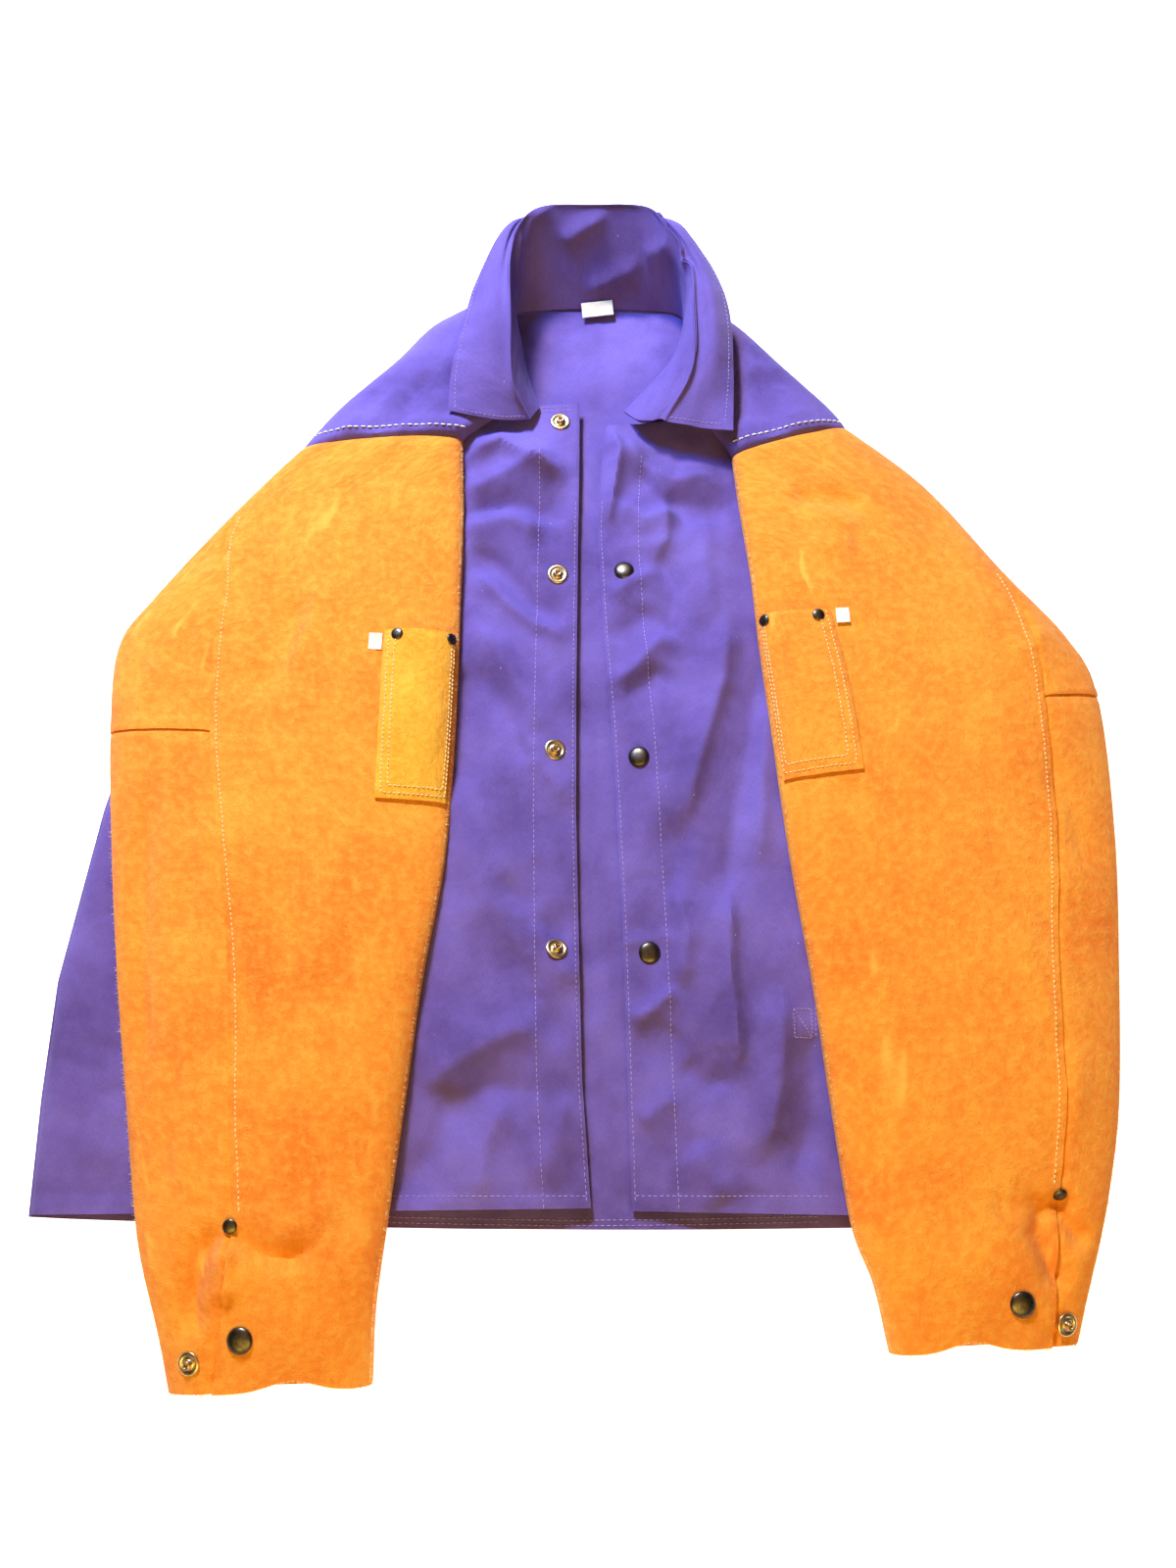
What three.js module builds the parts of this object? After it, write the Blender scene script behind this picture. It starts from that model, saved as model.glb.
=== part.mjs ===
// Welding jacket with a blue flame-resistant cotton body and split-leather sleeves, laid on its
// back with the fronts undone and both sleeves folded down over them.
// Millimetres, +Z up. +Y runs from the hem to the collar. The wearer's right side is at -X.
import * as THREE from "three";

// ---------------------------------------------------------------- driving dimensions
const jacketLength = 742; // back length, hem to neck seam
const jacketWidth = 704; // across the spread hem
const sleeveLoft = 24; // height of the hollow, flattened sleeve
const bodyLoft = 12; // room between the back and the fronts
const cotton = 1.5; // body cloth with its lining layer
const leather = 1.8; // split leather of the sleeves
const facingCloth = 1; // strip sewn inside each front edge
const facingWidth = 38;
const collarCloth = 2.4; // two plies of cotton
const pocketGap = 8; // fullness of a sleeve pocket
const insidePocketDepth = 5.5;
const snapRadius = 7.95; // cap of a size 24 snap
const studRadius = 8.25;
const cuffCapRadius = 8.6;
const rivetRadius = 4.9;
const snapInset = 19; // snap centre to the front edge, cap side
const studInset = 16; // the same, stud side
const seamGap = 0.3; // between two pieces that are sewn together
const metalGap = 0.5; // between a metal piece and the cloth it is set in
const foldGap = 0.45; // from a fold line to the cloth on each side of it

// ---------------------------------------------------------------- grading
// The pattern is drafted at this size, and graded to the driving dimensions.
const draftLength = 742;
const draftWidth = 704;
const across = (x) => (x * jacketWidth) / draftWidth;
const along = (y) => (y * jacketLength) / draftLength;
const at = (x, y) => new THREE.Vector2(across(x), along(y));

const backTop = cotton;
const hemHeight = backTop + 1.3; // side edge of a front or shoulder, resting on the back panel
const frontTop = backTop + bodyLoft + cotton;
const archGap = 0.9; // foot of a sleeve's arch above its under panel
const sleeveBase = frontTop + 0.5 + leather + archGap; // foot of the arch, where it lies on the fronts
const cuffBase = sleeveBase / 4; // the cuffs sink past the hem
const collarFoot = backTop + collarCloth + seamGap;

// ---------------------------------------------------------------- finishes
const finishes = {
  cotton: { color: 0x6a5fae, roughness: 0.92, metalness: 0 },
  leather: { color: 0xe39a3c, roughness: 0.95, metalness: 0 },
  label: { color: 0xece6cf, roughness: 0.85, metalness: 0 },
  brass: { color: 0xc2a268, roughness: 0.35, metalness: 1 },
  darkBrass: { color: 0x4c3f33, roughness: 0.4, metalness: 1 },
};

const jacket = new THREE.Group();
jacket.name = "welding_jacket";
const draft = new THREE.Group(); // holds the pattern, with its own origin at the middle of the back hem
jacket.add(draft);

function addPiece(name, geometry, finish) {
  const mesh = new THREE.Mesh(geometry, new THREE.MeshStandardMaterial(finishes[finish]));
  mesh.name = name;
  draft.add(mesh);
  return mesh;
}

// ---------------------------------------------------------------- sheets
// A grid of points on the outer face. Columns run to the right and rows away from the viewer, so the
// outer face looks up. The inner face lies one thickness behind it.
function gridNormal(grid, row, column) {
  const last = (list) => list.length - 1;
  const pick = (r, c) => grid[THREE.MathUtils.clamp(r, 0, last(grid))][
    THREE.MathUtils.clamp(c, 0, last(grid[0]))
  ];
  const right = pick(row, column + 1).clone().sub(pick(row, column - 1));
  const away = pick(row + 1, column).clone().sub(pick(row - 1, column));
  return right.cross(away).normalize();
}

function sheet(grid, thickness) {
  const rows = grid.length;
  const columns = grid[0].length;
  const positions = [];
  grid.forEach((line) => line.forEach((p) => positions.push(p.x, p.y, p.z)));
  grid.forEach((line, r) =>
    line.forEach((p, c) => {
      const inner = p.clone().addScaledVector(gridNormal(grid, r, c), -thickness);
      positions.push(inner.x, inner.y, inner.z);
    }),
  );
  const outer = (r, c) => r * columns + c;
  const inner = (r, c) => rows * columns + outer(r, c);
  const faces = [];
  const quad = (a, b, c, d) => faces.push(a, b, c, a, c, d);
  for (let r = 0; r < rows - 1; r++) {
    for (let c = 0; c < columns - 1; c++) {
      quad(outer(r, c), outer(r, c + 1), outer(r + 1, c + 1), outer(r + 1, c));
      quad(inner(r + 1, c), inner(r + 1, c + 1), inner(r, c + 1), inner(r, c));
    }
  }
  const rim = [];
  for (let c = 0; c < columns - 1; c++) rim.push([0, c]);
  for (let r = 0; r < rows - 1; r++) rim.push([r, columns - 1]);
  for (let c = columns - 1; c > 0; c--) rim.push([rows - 1, c]);
  for (let r = rows - 1; r > 0; r--) rim.push([r, 0]);
  rim.forEach(([r, c], k) => {
    const [nextR, nextC] = rim[(k + 1) % rim.length];
    quad(outer(nextR, nextC), outer(r, c), inner(r, c), inner(nextR, nextC));
  });
  const geometry = new THREE.BufferGeometry();
  geometry.setAttribute("position", new THREE.Float32BufferAttribute(positions, 3));
  geometry.setIndex(faces);
  geometry.computeVertexNormals();
  return geometry;
}

// A cloth panel between a left and a right outline of equal length, both listed from the hem up.
// height(u, x, y) gives the outer face, with u from 0 at the left outline to 1 at the right one.
function panelGrid(left, right, columns, height, bow = 0) {
  return left.map((start, r) => {
    const line = [];
    for (let c = 0; c <= columns; c++) {
      const u = c / columns;
      const p = start.clone().lerp(right[r], u);
      const sag = r === 0 ? bow * 4 * u * (1 - u) : 0;
      line.push(new THREE.Vector3(p.x, p.y + sag, height(u, p.x, p.y, r)));
    }
    return line;
  });
}

// Height of a cloth edge that rolls down to the back panel over a distance.
function rollDown(fromEdge, distance, top) {
  const k = THREE.MathUtils.clamp(fromEdge / distance, 0, 1);
  return hemHeight + (top - hemHeight) * Math.sqrt(1 - (1 - k) ** 2);
}

// ---------------------------------------------------------------- fold lines of the fronts
const foldLine = (top, foot) => ({ top, foot });
const rightFold = foldLine(at(-32, 650), at(-110, 14));
const leftFold = foldLine(at(22, 655), at(122, 14));
function foldAt(fold, y) {
  const k = (y - fold.foot.y) / (fold.top.y - fold.foot.y);
  return fold.foot.x + (fold.top.x - fold.foot.x) * k;
}

// ---------------------------------------------------------------- body
const backRight = [
  at(-380, 10), at(-383, 90), at(-382, 171), at(-362, 300), at(-340, 400), at(-300, 470),
  at(-255, 535), at(-222, 592), at(-163, 672), at(-98, 742), at(-72, 757),
];
const backLeft = [
  at(318, 6), at(322, 90), at(324, 171), at(320, 300), at(312, 400), at(285, 470),
  at(245, 545), at(202, 608), at(158, 672), at(104, 742), at(92, 757),
];
addPiece("back_panel", sheet(panelGrid(backRight, backLeft, 6, () => backTop, -6), cotton), "cotton");

const sideInset = 3; // a front's side edge stands on the back panel, just inside its outline
const frontSides = {
  right: [
    at(-380, 12), at(-383, 90), at(-382, 171), at(-362, 300), at(-340, 400), at(-300, 470),
    at(-255, 535), at(-200, 594), at(-100, 640),
  ].map((p) => p.setX(p.x + sideInset)),
  left: [
    at(318, 10), at(322, 90), at(324, 171), at(320, 300), at(312, 400), at(285, 470),
    at(245, 545), at(197, 602), at(100, 636),
  ].map((p) => p.setX(p.x - sideInset)),
};
const sideRoll = 16;
// Columns are closer together towards the rolled side edge.
function frontGrid(side, fold, sign) {
  const columns = 8;
  return side.map((edge, r) => {
    const isTop = r === side.length - 1;
    const foot = edge.y + (isTop ? along(10) : 0);
    const inner = new THREE.Vector2(foldAt(fold, foot) + sign * foldGap, foot);
    const line = [];
    for (let c = 0; c <= columns; c++) {
      const u = (c / columns) ** 1.7;
      const p = edge.clone().lerp(inner, u);
      const top = isTop ? frontTop : rollDown(Math.abs(p.x - edge.x), sideRoll, frontTop);
      line.push(new THREE.Vector3(p.x, p.y, top));
    }
    return sign > 0 ? line.reverse() : line;
  });
}
addPiece("right_front_panel", sheet(frontGrid(frontSides.right, rightFold, -1), cotton), "cotton");
addPiece("left_front_panel", sheet(frontGrid(frontSides.left, leftFold, 1), cotton), "cotton");

// ---------------------------------------------------------------- front flaps, facings and snaps
const rightEdge = [
  at(2, 16), at(-4, 100), at(-6, 171), at(-9, 300), at(-9, 399), at(-8, 520), at(-7, 600), at(-7, 645),
];
const leftEdge = [
  at(30, 14), at(28, 102), at(25, 220), at(19, 358), at(12, 450), at(8, 534), at(11, 590), at(15, 628),
];
const flapSlope = 0.05; // the free edge lies a little lower than the fold
const flapTop = (x, y, fold) => frontTop - flapSlope * Math.abs(x - foldAt(fold, y));

function flapGrid(edge, fold, sign, inset, width, drop) {
  const grid = edge.map((p) => {
    const near = foldAt(fold, p.y) - sign * foldGap * (inset ? 2 : 1);
    const free = p.x + sign * inset;
    const start = width ? sign * Math.min(sign * near, sign * (free + sign * width)) : near;
    const line = [];
    for (let c = 0; c <= 3; c++) {
      const x = start + ((free - start) * c) / 3;
      line.push(new THREE.Vector3(x, p.y, flapTop(x, p.y, fold) - drop));
    }
    return sign > 0 ? line.reverse() : line;
  });
  return grid;
}

function edgeAt(edge, y) {
  const k = edge.findIndex((p, i) => i > 0 && p.y >= y);
  const [a, b] = [edge[k - 1], edge[k]];
  return a.x + ((b.x - a.x) * (y - a.y)) / (b.y - a.y);
}

const facingDrop = cotton + seamGap;
const facingInset = 2;
// The facing stays clear of the narrow top of the flap.
for (const [side, edge, fold, sign] of [
  ["right", rightEdge, rightFold, -1],
  ["left", leftEdge, leftFold, 1],
]) {
  addPiece(side + "_front_flap", sheet(flapGrid(edge, fold, sign, 0, 0, 0), cotton), "cotton");
  const facing = flapGrid(edge.slice(0, -1), fold, sign, facingInset, facingWidth, facingDrop);
  addPiece(side + "_front_facing", sheet(facing, facingCloth), "cotton");
}

// Turned metal pieces: a profile of radius and height pairs, from the axis at the foot to the axis at the top.
function turned(name, profile, finish, point, normal) {
  const points = profile.map(([radius, height]) => new THREE.Vector2(radius, height));
  const geometry = new THREE.LatheGeometry(points, 14).rotateX(Math.PI / 2);
  const mesh = addPiece(name, geometry, finish);
  mesh.quaternion.setFromUnitVectors(new THREE.Vector3(0, 0, 1), normal);
  mesh.position.copy(point);
  return mesh;
}
const domed = (radius, height) => [
  [0, 0], [radius * 0.96, 0], [radius, height * 0.3], [radius * 0.8, height * 0.78], [0, height],
];
const ringed = (radius, height) => [
  [0, 0], [radius, 0], [radius, 1.1], [radius * 0.5, 1.5], [radius * 0.36, height], [0, height],
];
const disc = (radius, height) => [[0, 0], [radius, 0], [radius, height], [0, height]];
const socketRadius = 6.4;
const socketHeight = 2.2;
const postRadius = 5;
const postHeight = 1.6;
const capHeight = 3.2;
const studHeight = 4.2;
const snapRowsLeft = [191, 340, 496].map(along);
const snapRowsRight = [193, 345, 493, 628].map(along);

// Metal on the two faces of a cloth layer: one turned piece above it and one below.
function fastenPair(topName, topProfile, topFinish, footName, footProfile, point, normal, depth) {
  const above = point.clone().addScaledVector(normal, metalGap);
  const below = point.clone().addScaledVector(normal, -depth - metalGap);
  turned(topName, topProfile, topFinish, above, normal);
  turned(footName, footProfile, "brass", below, normal.clone().negate());
}

const flapLayers = cotton + seamGap + facingCloth;
function flapNormal(sign) {
  return new THREE.Vector3(-sign * flapSlope, 0, 1).normalize();
}
snapRowsLeft.forEach((y, k) => {
  const x = edgeAt(leftEdge, y) + snapInset;
  const point = new THREE.Vector3(x, y, flapTop(x, y, leftFold));
  fastenPair(
    "front_snap_cap_" + (k + 1), domed(snapRadius, capHeight), "darkBrass",
    "front_snap_socket_" + (k + 1), disc(socketRadius, socketHeight), point, flapNormal(1), flapLayers,
  );
});
snapRowsRight.forEach((y, k) => {
  const isTop = k === snapRowsRight.length - 1;
  const x = edgeAt(rightEdge, y) - studInset;
  const point = new THREE.Vector3(x, y, flapTop(x, y, rightFold));
  const depth = isTop ? cotton : flapLayers;
  fastenPair(
    "front_snap_stud_" + (k + 1), ringed(studRadius, studHeight), "brass",
    "front_snap_post_" + (k + 1), disc(postRadius, postHeight), point, flapNormal(-1), depth,
  );
});
const topCap = at(42, 632); // this one sits on the fixed part of the left front, under the collar
fastenPair(
  "front_snap_cap_4", domed(snapRadius, 2.6), "darkBrass",
  "front_snap_socket_4", disc(socketRadius, socketHeight),
  new THREE.Vector3(topCap.x, topCap.y, frontTop), new THREE.Vector3(0, 0, 1), cotton,
);

// The bag of the inside pocket hangs below the left front, open at its top.
const bag = { low: at(150, 116), high: at(288, 318), cells: 7 };
const bagGrid = [];
for (let r = 0; r <= bag.cells; r++) {
  const line = [];
  const up = r / bag.cells;
  for (let c = 0; c <= bag.cells; c++) {
    const u = c / bag.cells;
    const fullness = Math.sin(Math.PI * u) ** 0.5 * (1 - (1 - up) ** 5);
    line.push(
      new THREE.Vector3(
        bag.low.x + (bag.high.x - bag.low.x) * u,
        bag.low.y + (bag.high.y - bag.low.y) * up,
        frontTop - cotton - seamGap - insidePocketDepth * fullness,
      ),
    );
  }
  bagGrid.push(line);
}
addPiece("inside_pocket", sheet(bagGrid, facingCloth), "cotton");

// ---------------------------------------------------------------- sleeves
// Each row is a cross section from the outer fold of the sleeve to its inner one, from the cuff up.
// seam is the share of the width at which the long lapped seam lies.
const sleeves = {
  right: {
    sign: -1,
    rows: [
      { outer: at(-275, -96), inner: at(-142, -92), seam: 0.25 },
      { outer: at(-286, -55), inner: at(-141, -50), seam: 0.335 },
      { outer: at(-303, 4), inner: at(-136, -4), seam: 0.413 },
      { outer: at(-319, 85), inner: at(-127, 80), seam: 0.396 },
      { outer: at(-335, 169), inner: at(-118, 169), seam: 0.387 },
      { outer: at(-350, 262), inner: at(-105, 258), seam: 0.343 },
      { outer: at(-362, 355), inner: at(-101, 345), seam: 0.31 },
      { outer: at(-364, 425), inner: at(-100, 415), seam: 0.3 },
      { outer: at(-341, 467), inner: at(-100, 475), seam: 0.24 },
      { outer: at(-284, 535), inner: at(-100, 545), seam: 0.04 },
      { outer: at(-230, 597), inner: at(-103, 610), seam: 0 },
    ],
    seamEnd: 8.95,
    cuffFold: 0.64,
    pocket: { low: 5.45, high: 7.27, outer: 0.79, inner: 0.985 },
    tag: { row: 7.1, share: 0.765 },
    cap: { row: 0.78, share: 0.42 },
    stud: { row: 0.46, share: 0.16 },
    rivet: { row: 2.08, share: 0.413 },
  },
  left: {
    sign: 1,
    rows: [
      { outer: at(318, -66), inner: at(199, -73), seam: 0.176 },
      { outer: at(328, -28), inner: at(190, -32), seam: 0.19 },
      { outer: at(346, 26), inner: at(177, 6), seam: 0.225 },
      { outer: at(361, 82), inner: at(168, 82), seam: 0.218 },
      { outer: at(378, 169), inner: at(160, 165), seam: 0.225 },
      { outer: at(389, 277), inner: at(148, 262), seam: 0.2 },
      { outer: at(390, 385), inner: at(139, 360), seam: 0.187 },
      { outer: at(372, 433), inner: at(133, 425), seam: 0.142 },
      { outer: at(330, 487), inner: at(129, 485), seam: 0.04 },
      { outer: at(269, 562), inner: at(123, 540), seam: 0 },
      { outer: at(209, 617), inner: at(118, 594), seam: 0 },
    ],
    seamEnd: 7.95,
    cuffFold: 0.61,
    pocket: { low: 5.53, high: 7.38, outer: 0.76, inner: 0.985 },
    tag: { row: 7.3, share: 0.725 },
    cap: { row: 0.72, share: 0.36 },
    stud: { row: 0.35, share: 0.115 },
    rivet: { row: 2.08, share: 0.225 },
  },
};
const elbowRow = 6;
const archPower = 2.6; // squareness of the flattened tube
const flapRow = 1.8; // the cuff flap ends here, just short of its rivet
const cuffRows = [0, 0.5, 1, 1.4, flapRow];
const slitGap = 1.3;
const tipWidth = 2; // the upper corner of a cuff flap is blunt
const topLoft = 0.8; // the sleeve is flatter at the shoulder and at the cuff
const cuffLoft = 1.05;

// Foot of the arch: level on the fronts, and sinking past their hem.
function baseAt(y) {
  const k = THREE.MathUtils.smoothstep(y, along(-105), along(-6));
  return cuffBase + (sleeveBase - cuffBase) * k;
}

function sleeveRow(sleeve, row) {
  const k = THREE.MathUtils.clamp(Math.floor(row), 0, sleeve.rows.length - 2);
  const [a, b] = [sleeve.rows[k], sleeve.rows[k + 1]];
  const mix = row - k;
  const reach = row / (sleeve.rows.length - 1);
  const share = reach > 0.7 ? THREE.MathUtils.lerp(1, topLoft, (reach - 0.7) / 0.3) : 1;
  const nearCuff = THREE.MathUtils.lerp(cuffLoft, 1, Math.min(1, row / 2));
  return {
    outer: a.outer.clone().lerp(b.outer, mix),
    inner: a.inner.clone().lerp(b.inner, mix),
    seam: a.seam + (b.seam - a.seam) * mix,
    loft: sleeveLoft * share * nearCuff,
  };
}

const pointAcross = (sleeve, row, share) => {
  const line = sleeveRow(sleeve, row);
  return line.outer.clone().lerp(line.inner, share);
};

// The share of a row's width at which it crosses the straight line from start to end.
function shareOnLine(sleeve, row, start, end) {
  const line = sleeveRow(sleeve, row);
  const along = end.clone().sub(start);
  const width = line.inner.clone().sub(line.outer);
  return start.clone().sub(line.outer).cross(along) / width.cross(along);
}

// A point on the arched upper face, at a share of the width from the outer fold.
function archPoint(sleeve, row, share) {
  const line = sleeveRow(sleeve, row);
  const p = line.outer.clone().lerp(line.inner, share);
  const offset = Math.min(1, Math.abs(2 * share - 1));
  const rise = (1 - offset ** archPower) ** (1 / archPower);
  return new THREE.Vector3(p.x, p.y, baseAt(p.y) + line.loft * rise);
}
// Shares of the width are spread evenly round the arch, so that its steep sides get their columns.
const angleOf = (share) => {
  const side = 2 * share - 1;
  return Math.acos(-Math.sign(side) * Math.abs(side) ** (archPower / 2));
};
const shareOf = (angle) => {
  const side = -Math.cos(angle);
  return (1 + Math.sign(side) * Math.abs(side) ** (2 / archPower)) / 2;
};

function archGrid(sleeve, rows, startShare, endShare, columns) {
  return rows.map((row) => {
    const [from, to] = [angleOf(startShare(row)), angleOf(endShare(row))];
    const line = [];
    for (let c = 0; c <= columns; c++) {
      line.push(archPoint(sleeve, row, shareOf(from + ((to - from) * c) / columns)));
    }
    return sleeve.sign > 0 ? line.reverse() : line;
  });
}

function archNormal(sleeve, row, share) {
  const step = 0.01;
  const p = archPoint(sleeve, row, share);
  const side = archPoint(sleeve, row, share + step).sub(archPoint(sleeve, row, share - step));
  const up = archPoint(sleeve, row + step, share).sub(archPoint(sleeve, row - step, share));
  const normal = side.cross(up).normalize();
  return { point: p, normal: normal.z < 0 ? normal.negate() : normal };
}

const widthOf = (sleeve, row) => {
  const line = sleeveRow(sleeve, row);
  return line.outer.distanceTo(line.inner);
};
const rowsBetween = (from, to) => {
  const rows = [from];
  for (let row = Math.floor(from) + 1; row < to; row++) rows.push(row);
  return [...rows, to];
};

for (const [side, sleeve] of Object.entries(sleeves)) {
  const lastRow = sleeve.rows.length - 1;
  const seamShare = (row, gap) =>
    THREE.MathUtils.clamp(sleeveRow(sleeve, row).seam + gap / widthOf(sleeve, row), 0, 1);
  const tipShare = seamShare(flapRow, slitGap + tipWidth + foldGap);
  const foldStart = pointAcross(sleeve, 0, sleeve.cuffFold);
  const foldEnd = pointAcross(sleeve, flapRow, tipShare);
  const foldShare = (row, gap) =>
    shareOnLine(sleeve, row, foldStart, foldEnd) + gap / widthOf(sleeve, row);

  // Main panel, from the long seam round to the inner fold, cut away where the cuff flap lies.
  const mainStart = (row) =>
    row <= flapRow ? foldShare(row, foldGap) : seamShare(row, row > sleeve.seamEnd ? 0 : seamGap);
  const mainRows = [...cuffRows, flapRow + 0.07, ...rowsBetween(2, lastRow)];
  const main = archGrid(sleeve, mainRows, mainStart, () => 1, 11);
  addPiece(side + "_sleeve_main_panel", sheet(main, leather), "leather");

  // Side panel, from the outer fold to the long seam, in two lengths that meet at the elbow.
  const rowGap = 0.008;
  const sideEnd = (row) => seamShare(row, -seamGap);
  const lowerRows = [...cuffRows, ...rowsBetween(2, elbowRow - rowGap)];
  const lower = archGrid(sleeve, lowerRows, () => 0, sideEnd, 5);
  const upper = archGrid(sleeve, rowsBetween(elbowRow, sleeve.seamEnd), () => 0, sideEnd, 5);
  addPiece(side + "_sleeve_lower_side", sheet(lower, leather), "leather");
  addPiece(side + "_sleeve_upper_side", sheet(upper, leather), "leather");

  // Under panel, flat, below the arch.
  const inset = 1.5;
  const under = [...cuffRows, ...rowsBetween(2, lastRow)].map((row) => {
    const line = sleeveRow(sleeve, row);
    const step = line.inner.clone().sub(line.outer).setLength(inset);
    const ends = [line.outer.clone().add(step), line.inner.clone().sub(step)];
    if (sleeve.sign > 0) ends.reverse();
    const points = [];
    for (let c = 0; c <= 4; c++) {
      const p = ends[0].clone().lerp(ends[1], c / 4);
      points.push(new THREE.Vector3(p.x, p.y, baseAt(p.y) - archGap));
    }
    return points;
  });
  addPiece(side + "_sleeve_under_panel", sheet(under, leather), "leather");

  // Cuff flap: the corner of the main panel beside the slit, which turns back on its fold line.
  const flapStart = (row) => seamShare(row, slitGap);
  const flap = archGrid(sleeve, cuffRows, flapStart, (row) => foldShare(row, -foldGap), 4);
  addPiece(side + "_cuff_flap", sheet(flap, leather), "leather");

  // Snap halves on the two sides of the slit, and the rivet at its end.
  const cap = archNormal(sleeve, sleeve.cap.row, sleeve.cap.share);
  fastenPair(
    side + "_cuff_cap", domed(cuffCapRadius, capHeight), "darkBrass",
    side + "_cuff_socket", disc(socketRadius, socketHeight), cap.point, cap.normal, leather,
  );
  const stud = archNormal(sleeve, sleeve.stud.row, sleeve.stud.share);
  fastenPair(
    side + "_cuff_stud", ringed(studRadius * 0.92, studHeight), "brass",
    side + "_cuff_post", disc(postRadius, postHeight), stud.point, stud.normal, leather,
  );
  const rivet = archNormal(sleeve, sleeve.rivet.row, sleeve.rivet.share);
  rivet.point.addScaledVector(rivet.normal, metalGap);
  turned(side + "_slit_rivet", domed(rivetRadius, 2), "darkBrass", rivet.point, rivet.normal);

  // Sleeve pocket: a patch sewn on three sides, standing proud of the sleeve at its open top.
  const { pocket } = sleeve;
  const cells = 7;
  const patch = [];
  for (let r = 0; r <= cells; r++) {
    const up = r / cells;
    const row = pocket.low + (pocket.high - pocket.low) * up;
    const [from, to] = [angleOf(pocket.outer), angleOf(pocket.inner)];
    const line = [];
    for (let c = 0; c <= cells; c++) {
      const u = c / cells;
      const face = archNormal(sleeve, row, shareOf(from + (to - from) * u));
      const fullness = Math.sin(Math.PI * u) ** 0.5 * (1 - (1 - up) ** 5);
      const stand = leather + seamGap + pocketGap * fullness;
      line.push(face.point.addScaledVector(face.normal, stand));
    }
    patch.push(sleeve.sign > 0 ? line.reverse() : line);
  }
  addPiece(side + "_sleeve_pocket", sheet(patch, leather), "leather");
  const outerColumn = sleeve.sign > 0 ? cells : 0;
  const innerColumn = cells - outerColumn;
  for (const [where, column] of [["outer", outerColumn], ["inner", innerColumn]]) {
    const step = Math.sign(cells / 2 - column);
    const normal = gridNormal(patch, cells - 1, column + step);
    const point = patch[cells - 1][column + step].clone().addScaledVector(normal, metalGap + 0.3);
    turned(side + "_pocket_rivet_" + where, domed(rivetRadius, 2), "darkBrass", point, normal);
  }

  // Blank size tag beside the pocket.
  const tag = archNormal(sleeve, sleeve.tag.row, sleeve.tag.share);
  const tagHeight = 0.7;
  const tagPiece = addPiece(side + "_size_tag", new THREE.BoxGeometry(9, 13, tagHeight), "label");
  tagPiece.quaternion.setFromUnitVectors(new THREE.Vector3(0, 0, 1), tag.normal);
  tagPiece.position.copy(tag.point).addScaledVector(tag.normal, tagHeight / 2 + seamGap);
}

// ---------------------------------------------------------------- shoulders
// Each row runs from the outline of the shoulder to the neckline, from the sleeve seam up.
const shoulders = {
  right: {
    outer: [at(-230, 598.1), at(-195, 645), at(-158, 684), at(-129, 722), at(-104, 748)],
    inner: [at(-101, 611.2), at(-62, 650), at(-68, 694), at(-76, 728), at(-80, 752)],
  },
  left: {
    outer: [at(209, 617.6), at(190, 645), at(157, 683), at(125, 722), at(106, 748)],
    inner: [at(116, 594.6), at(92, 640), at(92, 680), at(96, 716), at(97, 748)],
  },
};
const crests = [19, 15, 11, 5, -3]; // highest point of each row, above the fronts
const shoulderRoll = 34;
for (const [side, { outer, inner }] of Object.entries(shoulders)) {
  const columns = 7;
  const grid = outer.map((start, r) => {
    const line = [];
    const crest = crests[r] + frontTop;
    for (let c = 0; c <= columns; c++) {
      const u = (c / columns) ** 1.3;
      const p = start.clone().lerp(inner[r], u);
      const fall = 1 - 0.35 * Math.max(0, 2 * u - 1);
      const top = Math.max(crest * fall, frontTop + cotton + 1);
      line.push(new THREE.Vector3(p.x, p.y, rollDown(p.distanceTo(start), shoulderRoll, top)));
    }
    return side === "left" ? line.reverse() : line;
  });
  addPiece(side + "_shoulder", sheet(grid, cotton), "cotton");
}

// ---------------------------------------------------------------- collar
// Stations round the neckline, from the wearer's right front to the left: the foot on the neckline,
// the roll line, and the free edge of the fall.
const station = (foot, roll, edge) => ({ foot, roll, edge });
const point = (x, y, aboveFronts) => new THREE.Vector3(across(x), along(y), frontTop + aboveFronts);
const onBack = (x, y) => new THREE.Vector3(across(x), along(y), collarFoot);
const stations = [
  station(point(-37, 651, 2.6), point(-52, 617, 31), point(-114, 631, 24)),
  station(point(-48, 674, 2.6), point(-61, 648, 41), point(-111, 661, 29)),
  station(point(-56, 705, -2), point(-63, 702, 47), point(-104, 696, 34)),
  station(point(-64, 732, -7), point(-64, 750, 53), point(-90, 747, 41)),
  station(onBack(-62, 748), point(-58, 784, 54), point(-70, 802, 45)),
  station(onBack(-33, 752), point(-33, 804, 53), point(-33, 813, -10)),
  station(onBack(4, 753), point(4, 806, 52), point(4, 815, -10)),
  station(onBack(42, 752), point(38, 803, 53), point(38, 812, -10)),
  station(onBack(76, 748), point(62, 784, 54), point(72, 802, 45)),
  station(point(82, 732, -7), point(80, 750, 52), point(98, 752, 43)),
  station(point(76, 703, -2), point(83, 718, 47), point(113, 736, 33)),
  station(point(56, 672, 2.6), point(84, 665, 42), point(117, 672, 28)),
  station(point(33, 642, 2.6), point(80, 614, 33), point(114, 612, 25)),
];
const lastStation = stations.length - 1;
const wingStations = 4;

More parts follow.
